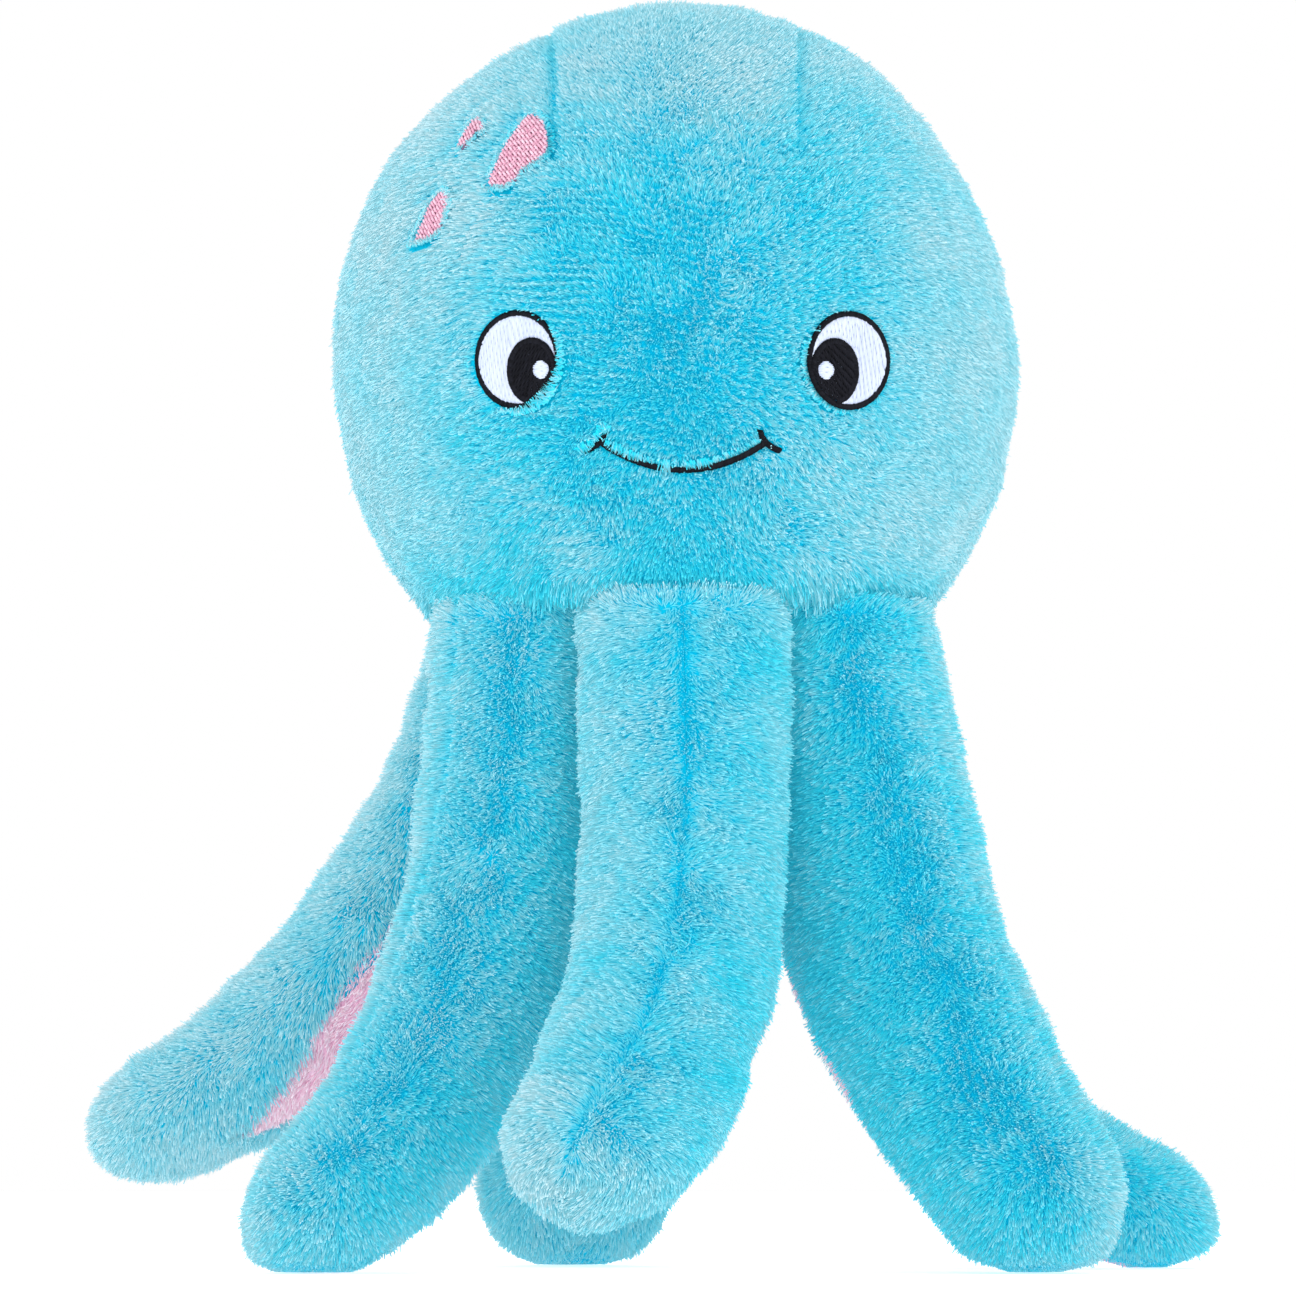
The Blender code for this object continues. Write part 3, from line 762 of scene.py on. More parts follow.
class Arm:
    """One arm's smooth surface, by the distance along it and the angle round it."""

    def __init__(self, name):
        self.name = name
        self.row = arm_rows[name]
        self.azimuth = math.radians(self.row["azimuth"])
        reach = arm_root_radius + arm_root_thickness / 2
        out = Vector((math.cos(self.azimuth), math.sin(self.azimuth), 0))
        self.hinge = np.array(neck_centre + out * reach + Vector((0, 0, neck_height)))
        self.end_radius = float(arm_half_width(1))
        turn = math.radians(self.row["under_turn"])
        self.under_start, self.under_end = under_start + turn, under_end + turn
        self.spans = {
            "upper_panel_right": (self.under_end - 2 * math.pi, ridge),
            "upper_panel_left": (ridge, self.under_start),
            "under_panel": (self.under_start, self.under_end),
        }
        self.line = np.array(arm_curve(self.row))
        self.settle()

    def measure(self):
        steps = np.linalg.norm(np.diff(self.line, axis=0), axis=1)
        self.along_at = np.concatenate([[0], np.cumsum(steps)])
        self.length = self.along_at[-1]
        self.straight = self.length - self.end_radius
        self.reach = self.straight + self.end_radius * math.pi / 2
        ways = unit(np.diff(self.line, axis=0))
        self.ways = unit(np.concatenate([ways[:1], ways[:-1] + ways[1:], ways[-1:]]))

    def settle(self):
        """Lower the line until the frame's lowest section point is at its height over the floor."""
        height_share = self.row["heights"][-1]
        target = height_share * neck_height - neck_height - (sole_cut if height_share == 0 else 0)
        below = np.linspace(under_start, under_end, arm_under_arcs + 1)
        shares = np.linspace(0, 1, curve_steps + 1)
        for _ in range(settling_passes):
            self.measure()
            places = [self.straight * share for share in arm_ring_shares]
            places += list(self.end_places(arm_end_angles_deg))
            at, angle = np.meshgrid(places, below, indexing="ij")
            lowest = self.local(at.ravel(), angle.ravel(), 0)[:, 2].min()
            self.line[:, 2] += (target - lowest) * shares**2
        self.measure()

    def end_places(self, angles_deg):
        """Distances along the arm to angles round its end."""
        return self.straight + self.end_radius * np.radians(angles_deg)

    def sections(self, at, outset):
        """Middle, width way, outer way, half width, half thickness and wedge at distances."""
        cap = np.clip((at - self.straight) / self.end_radius, 0, math.pi / 2)
        place = np.where(
            at > self.straight, self.straight + (self.end_radius + outset) * np.sin(cap), at
        )
        shrink = np.cos(cap)
        share = np.clip(place / self.length, 0, self.straight / self.length)
        share = np.where(cap > 0, 1.0, share)
        middle, way = [
            np.stack([np.interp(place, self.along_at, column) for column in table.T], 1)
            for table in (self.line, self.ways)
        ]
        way = unit(way)
        beyond = np.maximum(place - self.length, 0)[:, None]
        down = np.array((0, 0, -1.0))
        turned = smooth(place / (arm_ring_shares[1] * self.straight))[:, None]
        way = unit(down * (1 - turned) + way * turned)
        middle = middle + way * beyond
        width_way = unit(np.array((0, 1.0, 0)) - way * way[:, 1:2])
        out_way = np.cross(way, width_way)
        half_width = (arm_half_width(share) + outset) * shrink
        end_thickness = arm_belly_thickness * self.row["end"]
        half_thickness = (arm_half_thickness(share, end_thickness) + outset) * shrink
        wedge = eased(arm_wedge_share, 0, share / arm_wedge_end_share)
        return middle, width_way, out_way, half_width, half_thickness, wedge

    def local(self, at, angle, outset):
        outset = np.broadcast_to(np.asarray(outset, float), at.shape)
        middle, width_way, out_way, half_width, half_thickness, wedge = self.sections(at, outset)
        across = half_width * np.cos(angle) * (1 + wedge * np.sin(angle))
        up = half_thickness * np.sin(angle)
        return middle + width_way * across[:, None] + out_way * up[:, None]

    def world(self, local):
        c, s = math.cos(self.azimuth), math.sin(self.azimuth)
        turned = local @ np.array(((c, s, 0), (-s, c, 0), (0, 0, 1)))
        return turned + self.hinge

    def point(self, at, angle, outset):
        return self.world(self.local(at, angle, outset))

    def frame_at(self, at, angle):
        """Outward normal, way round (growing angle) and way along (to the tip) at places."""
        step_at, step_angle = 0.0004, 0.02
        at = np.clip(at, step_at, self.reach - 0.0008)
        round_way = self.point(at, angle + step_angle, 0) - self.point(at, angle - step_angle, 0)
        along_way = self.point(at + step_at, angle, 0) - self.point(at - step_at, angle, 0)
        round_way, along_way = unit(round_way), unit(along_way)
        normal = unit(np.cross(round_way, along_way))
        middle = self.world(self.sections(at, np.zeros(len(at)))[0])
        inward = ((self.point(at, angle, 0) - middle) * normal).sum(1) < 0
        normal[inward] *= -1
        return normal, round_way, along_way

    def relief(self, at, angle, points):
        """How far the stuffed cloth stands over the frame's smooth surface."""
        lumps = 0.0008 * noise(points, 0.050, 31) + 0.0004 * noise(points, 0.020, 32)
        for share, turn, height in self.row["bulges"]:
            off = wrapped(angle - math.radians(turn))
            near = np.exp(-(((at / self.reach - share) / 0.28) ** 2) - (off / 0.9) ** 2)
            lumps = lumps + height * near
        lumps *= smooth(at / 0.02)
        return lumps - 0.0017 * self.parting(at, angle, points)

    def from_under(self, angle):
        """Angles from the middle of the underside."""
        return wrapped(angle - (self.under_start + self.under_end) / 2)

    def pink_depth(self, at, angle, radius):
        """How far inside the pink part of the underside places are, below zero in the blue."""
        root_inset, tip_inset, first_share, before_tip = self.row["pink"]
        narrowed = np.clip((at / self.straight - first_share) / (0.97 - first_share), 0, 1) ** 1.3
        inset = root_inset + (tip_inset - root_inset) * narrowed
        under = np.abs(self.from_under(angle))
        inside = ((self.under_end - self.under_start) / 2 - under) * radius - inset
        return np.minimum(inside, self.reach - before_tip - at)

    def parting(self, at, angle, points):
        """How strongly the pile parts along the arm's seams."""
        found = 0
        for seam, strength in ((ridge, 1.0), (self.under_start, 0.4), (self.under_end, 0.4)):
            gap = np.abs(wrapped(angle - seam)) * self.end_radius
            found = np.maximum(found, strength * hill(gap, 0.0012))
        broken = 0.80 + 0.30 * noise(points, 0.020, 33)
        return found * np.clip(broken, 0.35, 1) * smooth((self.reach - at) / 0.016)


arms = {name: Arm(name) for name in arm_rows}


def bend_with_arm(piece):
    """The piece's placement, baked into its mesh."""
    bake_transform(piece)


def add_arm_cloth(arm):
    end_rows = arm.end_places((10, 20, 30, 40, 50, 60, 68, 75, 81, 86))
    rows = np.concatenate([np.linspace(0.0002, arm.straight, 64), end_rows])
    columns = 24
    half_gap = cloth_gap / 2 / arm.end_radius
    for panel, (start, end) in arm.spans.items():
        turns = np.linspace(start + half_gap, end - half_gap, columns)
        at, angle = np.meshgrid(rows, turns, indexing="ij")
        at, angle = at.ravel(), angle.ravel()
        surface = arm.point(at, angle, 0)
        relief = arm.relief(at, angle, surface)
        outer = arm.point(at, angle, relief - cloth_depth)
        inner = arm.point(at, angle, relief - plush_thickness)
        grid = len(rows), columns
        outer = outer.reshape(*grid, 3)
        inner = inner.reshape(*grid, 3)[:, ::-1]
        points = np.concatenate([outer, inner], 1)
        points[..., 2] = np.maximum(points[..., 2], cloth_clearance)
        width = points.shape[1]
        faces = grid_faces(len(rows), width, True)
        ends = []
        for row, order in ((0, 1), (len(rows) - 1, -1)):
            k = np.arange(columns - 1) + row * width
            across = row * width + width - 1 - np.arange(columns - 1)
            cap = np.stack([k, k + 1, across - 1, across], 1)
            ends.append(cap if order > 0 else cap[:, ::-1])
        u = np.concatenate([np.linspace(0.02, 0.98, columns), np.linspace(0.98, 0.02, columns)])
        v = np.linspace(0.02, 0.98, len(rows))
        flat = np.stack(np.meshgrid(u, v), -1).reshape(-1, 2)
        faces = [faces[:, ::-1], *ends]
        material = pink_cloth if panel == "under_panel" else blue_cloth
        node = f"{arm.name}_arm_{panel}"
        piece = new_piece(
            f"{node}_cloth", points.reshape(-1, 3), faces, corner_map(flat, faces), material,
            crisp=True,
        )
        if panel == "under_panel":
            piece.data.materials.append(blue_cloth)
            girth = np.broadcast_to(arm.end_radius, at.shape)
            depth = arm.pink_depth(at, angle, girth).reshape(grid)
            depth = depth[1:, 1:] + depth[:-1, 1:] + depth[1:, :-1] + depth[:-1, :-1]
            blue = np.zeros((len(rows) - 1, width), int)
            blue[:, : columns - 1] = depth < 0
            index = np.concatenate([blue.ravel(), np.zeros(2 * (columns - 1), int)])
            piece.data.polygons.foreach_set("material_index", index)
        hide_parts(node)
        bend_with_arm(piece)


def add_arm_filling(arm):
    inset = plush_thickness + stuffing_clearance
    end_rows = arm.end_places((15, 30, 45, 60, 72, 81, 86))
    rows = np.concatenate([np.linspace(0.0002, arm.straight, 48), end_rows])
    columns = 48
    turns = np.arange(columns) * 2 * math.pi / columns
    at, angle = np.meshgrid(rows, turns, indexing="ij")
    at, angle = at.ravel(), angle.ravel()
    surface = arm.point(at, angle, -inset)
    lumps = 0.0007 * noise(surface, 0.014, 41) - 0.0004
    relief = np.minimum(arm.relief(at, angle, arm.point(at, angle, 0)), 0.0004)
    points = arm.point(at, angle, relief - inset + np.minimum(lumps, 0))
    points[:, 2] = np.maximum(points[:, 2], inset)
    faces = grid_faces(len(rows), columns, True)[:, ::-1]
    last = (len(rows) - 1) * columns
    ends = [np.arange(columns)[None], (last + np.arange(columns))[None, ::-1]]
    flat = np.stack(
        np.meshgrid(np.linspace(0.02, 0.98, columns), np.linspace(0.02, 0.98, len(rows))), -1
    ).reshape(-1, 2)
    faces = [faces, *ends]
    piece = new_piece(f"{arm.name}_arm_filling", points, faces, corner_map(flat, faces), fibre)
    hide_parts(f"{arm.name}_arm_stuffing")
    bend_with_arm(piece)


# Embroidery


class FaceSpot:
    """A place on the front of the head, with directions across and up along its surface."""

    def __init__(self, across, rise, turn=0.0):
        share = 1 - (across / head_radii[0]) ** 2 - (rise / head_radii[2]) ** 2
        away = np.array((across, -head_radii[1] * math.sqrt(share), rise))
        self.place = head_centre + away
        outward = unit(away / head_radii**2)
        level = unit(np.cross((0, 0, 1.0), outward))
        upward = np.cross(outward, level)
        self.across = level * math.cos(turn) + upward * math.sin(turn)
        self.up = upward * math.cos(turn) - level * math.sin(turn)
        self.outward = outward

    def points(self, flat, outset):
        """Places on the head for (across, up) pairs."""
        flat = np.asarray(flat, float)
        away = self.place + flat[:, :1] * self.across + flat[:, 1:] * self.up - head_centre
        return head_place(unit(away), outset)

    def flat(self, points):
        """(across, up) of points in front of the spot, and whether they are on its side."""
        away = points - self.place
        return np.stack([away @ self.across, away @ self.up], 1), (
            (points - head_centre) @ self.outward > 0
        )


eye_spots = {side: FaceSpot(head_lean + side * eye_spacing / 2, -eye_drop) for side in (-1, 1)}
mouth_spot = FaceSpot(head_lean, -mouth_drop)


def ellipse(middle, size, count=48):
    turns = np.arange(count) * 2 * np.pi / count
    return np.stack(
        [middle[0] + np.cos(turns) * size[0] / 2, middle[1] + np.sin(turns) * size[1] / 2], 1
    )


def inside_outline(flat, outline):
    """Signed distance of flat points to a closed outline, below zero inside."""
    best = np.full(len(flat), 1e9)
    odd = np.zeros(len(flat), bool)
    for a, b in zip(outline, np.roll(outline, -1, axis=0)):
        best = np.minimum(best, np.linalg.norm(off_segment(flat, a, b), axis=1))
        crosses = (a[1] > flat[:, 1]) != (b[1] > flat[:, 1])
        with np.errstate(divide="ignore", invalid="ignore"):
            x = a[0] + (flat[:, 1] - a[1]) * (b[0] - a[0]) / (b[1] - a[1])
        odd ^= crosses & (flat[:, 0] < x)
    return np.where(odd, -best, best)


def tubes(paths, tones, radius):
    """Round threads through rows of points. Returns points, quads and map of one mesh."""
    points, faces, uvs = [], [], []
    offset = 0
    sides = 5
    turns = np.arange(sides) * 2 * np.pi / sides
    for path, tone in zip(paths, tones):
        count = len(path)
        ways = unit(np.gradient(path, axis=0))
        outward = head_normal(path)
        side = unit(np.cross(ways, outward))
        up = np.cross(side, ways)
        thick = radius * np.sqrt(np.clip(1 - (np.linspace(-1, 1, count) * 0.94) ** 6, 0.05, 1))
        thick = thick[:, None, None]
        ring = path[:, None] + side[:, None] * np.cos(turns)[None, :, None] * thick
        ring = ring + up[:, None] * (np.sin(turns) * 0.8)[None, :, None] * thick
        points.append(ring.reshape(-1, 3))
        quads = grid_faces(count, sides, True) + offset
        faces.append(quads)
        v = np.repeat(np.linspace(0.02, 0.98, count), sides)
        u = 0.05 + 0.9 * np.clip(tone, 0, 1) + np.tile(np.linspace(-0.01, 0.01, sides), count)
        flat = np.stack([u, v], 1)
        uvs.append(flat[(quads - offset).ravel()])
        offset += count * sides
    return np.concatenate(points), np.concatenate(faces), np.concatenate(uvs)


def patch_base(spot, outline, outset, thickness):
    """A closed pad of packed threads under the stitches of a field."""
    middle = outline.mean(0)
    outer, inner = 0.96, 0.02
    top = outset + thickness
    rows = [
        spot.points(middle + (outline - middle) * share, height)
        for share, height in (
            (inner, top), (0.35, top), (0.65, top), (0.85, top), (outer, top), (outer, outset),
            (inner, outset),
        )
    ]
    return np.concatenate(rows), grid_faces(len(rows), len(outline), True)


def field_stitches(
    spot, outline, turn, pitch, stitch, outset, seed, hole=None, within=None, lift=0.00012
):
    """Rows of stitches that fill an outline, as thread paths and tones."""
    own = np.random.default_rng(seed)
    c, s = math.cos(turn), math.sin(turn)
    along, across = np.array((c, s)), np.array((-s, c))
    low, high = (outline @ across).min(), (outline @ across).max()
    start, end = (outline @ along).min(), (outline @ along).max()
    paths, tones = [], []
    count = max(int((high - low) / pitch), 2)
    for row in range(count):
        level = low + (row + 0.5) * (high - low) / count
        t = np.arange(start, end, thread_step)
        line = along * t[:, None] + across * level
        good = inside_outline(line, outline) < 0
        if hole is not None:
            good &= inside_outline(line, hole) > 0
        if within is not None:
            good &= inside_outline(line, within) < 0
        runs = np.flatnonzero(np.diff(np.concatenate([[0], good.astype(int), [0]])))
        for first, last in zip(runs[::2], runs[1::2] - 1):
            a = t[first] + own.normal() * thread_step
            b = t[last] + own.normal() * thread_step
            if b - a < pitch:
                continue
            phase = (row % 3) / 3 + own.uniform(-0.06, 0.06)
            cuts = a + (np.arange(-1, (b - a) / stitch + 2) + phase) * stitch
            cuts = [a, *[x for x in cuts if a + 0.0006 < x < b - 0.0006], b]
            row_tone = own.uniform(0.25, 0.75)
            for p, q in zip(cuts, cuts[1:]):
                steps = max(int((q - p) / 0.0007), 4)
                share = np.linspace(0, 1, steps + 1)
                flat = along * (p + (q - p) * share)[:, None] + across * level
                wobble = own.normal() * pitch * 0.06
                flat = flat + across * (wobble * np.sin(np.pi * share))[:, None]
                rise = outset + lift * np.sin(np.pi * share) ** 0.5
                paths.append(spot.points(flat, rise))
                tones.append(row_tone + own.uniform(-0.2, 0.2))
    return paths, tones


def satin_line(spot, line, width, pitch, slant, outset, seed, closed=False):
    """Short stitches side by side across a line, as thread paths and tones."""
    own = np.random.default_rng(seed)
    if closed:
        line = np.concatenate([line, line[:1]])
    steps = np.linalg.norm(np.diff(line, axis=0), axis=1)
    far = np.concatenate([[0], np.cumsum(steps)])
    count = int(far[-1] / pitch)
    at = (np.arange(count) + 0.5) * far[-1] / count
    spots = np.stack([np.interp(at, far, line[:, k]) for k in range(2)], 1)
    near = np.stack([np.interp(at + 0.0003, far, line[:, k]) for k in range(2)], 1)
    back = np.stack([np.interp(at - 0.0003, far, line[:, k]) for k in range(2)], 1)
    ways = unit(near - back)
    cross = np.stack([-ways[:, 1], ways[:, 0]], 1)
    cross = unit(cross * math.cos(slant) + ways * math.sin(slant))
    widths = np.broadcast_to(width, count) * (1 + own.normal(size=count) * 0.06)
    share = np.linspace(-1, 1, 7)
    paths, tones = [], []
    for place, way, wide in zip(spots, cross, widths):
        flat = place + way * (share * wide / 2)[:, None]
        rise = outset + wide * 0.22 * (1 - share**2)
        paths.append(spot.points(flat, rise))
        tones.append(own.uniform(0.1, 0.9))
    return paths, tones


def add_stitched(node, threads, radius, slot, base=None):
    """One embroidered piece: its threads, and the pad under them."""
    paths = [path for found, _ in threads for path in found]
    tones = [tone for _, found in threads for tone in found]
    points, quads, uv = tubes(paths, tones, radius)
    faces = [quads]
    if base is not None:
        rows, under = base
        faces.append(under + len(points))
        points = np.concatenate([points, rows])
        # The pad takes the dark start of the threads' ramps: painted shade between the stitches.
        flat = np.tile(np.array((0.1, 0.05)), (under.size, 1))
        flat += np.random.default_rng(3).uniform(-0.01, 0.01, flat.shape)
        uv = np.concatenate([uv, flat])
    piece = new_piece(f"{node}_stitches", leant(points), faces, uv, thread_materials[slot])
    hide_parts(node)
    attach(piece, "head")


thread_step = 0.00008
stitch_top = thread_gap + thread_thickness - 0.0002
# Outlines of the pink spots in millimetres, along and across each spot
spot_outlines = {
    "spot_large": (0.0372, 0.0439, (
        (9.8, 5.0), (9.9, 1.8), (8.7, -2.4), (6.4, -6.0), (3.6, -8.3), (0.0, -7.9), (-2.5, -6.8),
        (-6.1, -7.4), (-8.2, -6.2), (-9.6, -3.6), (-9.7, -1.6), (-7.8, -0.4), (-3.8, 1.7),
        (0.8, 3.9), (5.9, 5.7), (8.4, 6.2))),
    "spot_small": (0.0560, 0.0305, (
        (4.6, 3.4), (5.6, 0.9), (5.0, -1.6), (2.2, -4.2), (-0.5, -6.0), (-3.5, -6.0), (-6.3, -3.4),
        (-8.4, -1.0), (-5.8, 0.6), (-2.2, 1.9), (1.2, 3.6))),
    "spot_top": (0.0478, 0.0488, (
        (4.9, 4.6), (4.6, 1.8), (4.3, -1.8), (3.2, -1.6), (2.5, 0.3), (0.9, -1.1), (-1.2, -1.4),
        (-3.4, -0.2), (-2.4, 1.8), (0.2, 3.4), (2.9, 4.9))),
}
spots = {
    name: (FaceSpot(-across, rise, math.radians(spot_turn_deg)), np.array(line) / 1000)
    for name, (across, rise, line) in spot_outlines.items()
}


def add_eyes():
    border = 4 * eye_outline_radius + 2 * thread_gap - 0.0010
    upright = math.pi / 2
    for side, name in ((-1, "eye_left"), (1, "eye_right")):
        spot = eye_spots[side]
        field = ellipse((0, 0), (eye_width - border, eye_height - border), 64)
        pupil_middle = (-side * pupil_inset, -pupil_drop)
        pupil = ellipse(pupil_middle, (pupil_width, pupil_height), 56)
        pupil_edge = ellipse(pupil_middle, (pupil_width - 0.0008, pupil_height - 0.0008), 72)
        glint_middle = (-side * glint_inset, -glint_drop)
        glint = ellipse(glint_middle, (glint_diameter + 0.0006,) * 2, 32)
        glint_hole = ellipse(glint_middle, (glint_diameter,) * 2, 32)
        border_line = ellipse(
            (0, 0), (eye_width - 2 * eye_outline_radius, eye_height - 2 * eye_outline_radius), 96
        )

        rows = field_stitches(
            spot, field, upright, 0.00034, 0.0052, stitch_top, 50 + side, hole=pupil
        )
        base = patch_base(spot, field, thread_gap - 0.0006, 0.0013)
        add_stitched(f"{name}_white", [rows], 0.00023, "white_thread", base)

        rows = field_stitches(
            spot, pupil, upright + 0.5 * side, 0.00036, 0.0034, stitch_top + 0.0001, 60 + side,
            hole=glint_hole, within=field, lift=0.0002,
        )
        edge = pupil_edge[inside_outline(pupil_edge, field) < 0.0002]
        gap = np.linalg.norm(np.diff(edge, axis=0, append=edge[:1]), axis=1)
        edge = np.roll(edge, -int(gap.argmax()) - 1, axis=0)
        rim = satin_line(spot, edge, 0.0014, 0.00036, 0.3, stitch_top + 0.0002, 65 + side)
        inside = pupil[inside_outline(pupil, field) < 0]
        base = patch_base(spot, inside, stitch_top - 0.0006, 0.0006)
        add_stitched(f"{name}_pupil", [rows, rim], 0.00025, "black_thread", base)

        rows = field_stitches(spot, glint, 0.1, 0.00036, 0.0060, stitch_top + 0.0004, 70 + side)
        base = patch_base(spot, glint, stitch_top - 0.0002, 0.0005)
        add_stitched(f"{name}_glint", [rows], 0.00026, "white_thread", base)

        rim = satin_line(
            spot, border_line, 0.0014, 0.00034, 0.25, stitch_top, 80 + side, closed=True
        )
        add_stitched(f"{name}_outline", [rim], 0.00025, "black_thread")


def mouth_flat():
    share = np.linspace(-1, 1, 61)
    return np.stack([share * (mouth_width / 2 + 0.0005), mouth_sag * share**2], 1)


def crease_flat(side):
    turn = math.radians(crease_angle_deg)
    gap = thread_gap + mouth_line_radius + crease_line_radius
    middle = (side * (mouth_width / 2 + gap), mouth_sag + crease_rise)
    share = np.linspace(-0.5, 0.5, 21)
    bend = 1 - (2 * share) ** 2
    across = middle[0] + side * (share * crease_length * math.cos(turn) - 0.0010 * bend)
    up = middle[1] - share * crease_length * math.sin(turn) - 0.0005 * bend
    return np.stack([across, up], 1)


def add_mouth():
    rows = satin_line(mouth_spot, mouth_flat(), 0.0016, 0.00036, 0.5, stitch_top + 0.0001, 90)
    add_stitched("mouth_line", [rows], 0.00026, "black_thread")
    for side, node in ((-1, "mouth_crease_left"), (1, "mouth_crease_right")):
        line = crease_flat(side)
        rows = satin_line(mouth_spot, line, 0.0016, 0.00036, 0.4, stitch_top, 95 + side)
        add_stitched(node, [rows], 0.00024, "black_thread")


def add_spots():
    for index, (node, (spot, outline)) in enumerate(spots.items()):
        under = field_stitches(
            spot, outline, 0.05, 0.00078, 0.0042, stitch_top - 0.0006, 100 + index, lift=0.0002
        )
        over = field_stitches(
            spot, outline, 1.45, 0.00078, 0.0024, stitch_top - 0.0004, 110 + index, lift=0.0004
        )
        base = patch_base(spot, outline, thread_gap - 0.0008, 0.0007)
        add_stitched(node, [under, over], 0.00032, "pink_thread", base)


# Pile

# How far the pile reaches over the threads: at angles in degrees round the left eye, from its inner
# corner, and at places across the mouth
eye_covers = (
    (-120, 0), (-95, 0.0004), (-75, 0.0010), (-60, 0.0017), (-45, 0.0020), (-30, 0.0013),
    (-12, 0.0010), (10, 0.0007), (30, 0.0003), (55, 0),
)
mouth_covers = (
    (-0.0186, 0.0004), (-0.0150, 0.0009), (-0.0110, 0.0007), (-0.0085, 0.0003), (-0.0060, 0.0002),
    (-0.0050, 0.0012), (-0.0042, 0.0020), (-0.0034, 0.0014), (-0.0020, 0.0004), (0.0030, 0.0006),
    (0.0045, 0.0009), (0.0065, 0.0009), (0.0085, 0.0005), (0.0120, 0.0006), (0.0140, 0.0008),
    (0.0160, 0.0006), (0.0186, 0.0004),
)


def embroidery_gap(points):
    """Where points of the head are beside the embroidery.

    Gives the distance to the nearest edge, below zero on the threads, the way off it, which kind it
    is (1 eye, 2 spot, 3 mouth), and how far the pile there reaches over the threads.
    """
    best = np.full(len(points), 1.0)
    away = np.zeros((len(points), 3))
    kind = np.zeros(len(points), int)
    cover = np.zeros(len(points))
    ragged = noise(points, 0.0045, 261)

    def take(close, gap, way, which, over):
        nearer = gap < best[close]
        close = close[nearer]
        best[close], away[close], kind[close] = gap[nearer], way[nearer], which
        cover[close] = over[nearer]

    items = [
        (spot, ellipse((0, 0), (eye_width, eye_height), 40), side)
        for side, spot in eye_spots.items()
    ]
    items += [(spot, outline, 0) for spot, outline in spots.values()]
    near = np.flatnonzero(points[:, 1] < 0)
    for spot, outline, side in items:
        flat, beside = spot.flat(points[near])
        close = near[(np.abs(flat) < 0.020).all(1) & beside]
        flat = spot.flat(points[close])[0]
        gap = inside_outline(flat, outline)
        slope_x, slope_y = [
            (inside_outline(flat + step, outline) - inside_outline(flat - step, outline))[:, None]
            for step in ((0.0002, 0), (0, 0.0002))
        ]
        way = unit(slope_x * spot.across + slope_y * spot.up)
        if side:
            turn = np.arctan2(flat[:, 1], -side * flat[:, 0])
            over = np.interp(np.degrees(turn), *np.array(eye_covers).T)
            over = over * (1.0 if side < 0 else 0.40) + 0.00015 * ragged[close]
        else:
            over = 0.0003 + 0.0003 * ragged[close]
        take(close, gap, way, 1 if side else 2, over)
    for line, radius, own_cover in (
        (mouth_flat(), 0.0008, 0),
        (crease_flat(-1), 0.0004, 0.0011),
        (crease_flat(1), 0.0006, 0.00012),
    ):
        flat, beside = mouth_spot.flat(points[near])
        close = near[(np.abs(flat) < (0.030, 0.018)).all(1) & beside]
        flat = mouth_spot.flat(points[close])[0]
        gap = np.full(len(close), 1e9)
        off = np.zeros((len(close), 2))
        for a, b in zip(line, line[1:]):
            away_flat = off_segment(flat, a, b)
            distance = np.linalg.norm(away_flat, axis=1)
            nearer = distance < gap
            gap[nearer] = distance[nearer]
            off[nearer] = away_flat[nearer]
        way = unit(off[:, :1] * mouth_spot.across + off[:, 1:] * mouth_spot.up)
        over = own_cover if own_cover else np.interp(flat[:, 0], *np.array(mouth_covers).T)
        over = over * (1 + 0.45 * ragged[close])
        take(close, gap - radius, way, 3, np.where(off[:, 1] > 0, over, 0.0))
    return best, away, kind, cover


def grow(name, strands, material, arm=None):
    """Pile pieces from strand data, split so that no piece has too many faces.

    Strands that start raised hang over the embroidery from within the pile.
    """
    roots, normals, ways, leans, lengths, widths, tones, clump, raised = strands
    tangent = unit(ways - normals * (ways * normals).sum(1, keepdims=True))
    start = roots + normals * (raised - root_depth)[:, None]
    tip = start + lengths[:, None] * (
        normals * np.cos(leans)[:, None] + tangent * np.sin(leans)[:, None]
    )
    tip += clump - normals * (clump * normals).sum(1, keepdims=True)
    count = len(roots)
    pieces = max(1, math.ceil(count / most_strands))
    order = np.argsort(roots[:, 2], kind="stable")
    for index, part in enumerate(np.array_split(order, pieces)):
        label = f"{name}_pile" if pieces == 1 else f"{name}_pile_{index + 1}"
        piece = strand_mesh(label, start[part], tip[part], widths[part], tones[part], material)
        if arm is None:
            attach(piece, "head")
        else:
            bend_with_arm(piece)


def over_arms(points):
    """How near points of the head are to the middle of an arm's root, 1, or between two arms, 0."""
    turn = np.degrees(np.arctan2(points[:, 1], points[:, 0] - neck_x))
    off = np.full(len(points), 180.0)
    for row in arm_rows.values():
        off = np.minimum(off, np.abs((turn - row["azimuth"] + 180) % 360 - 180))
    return smooth((25 - off) / 11)


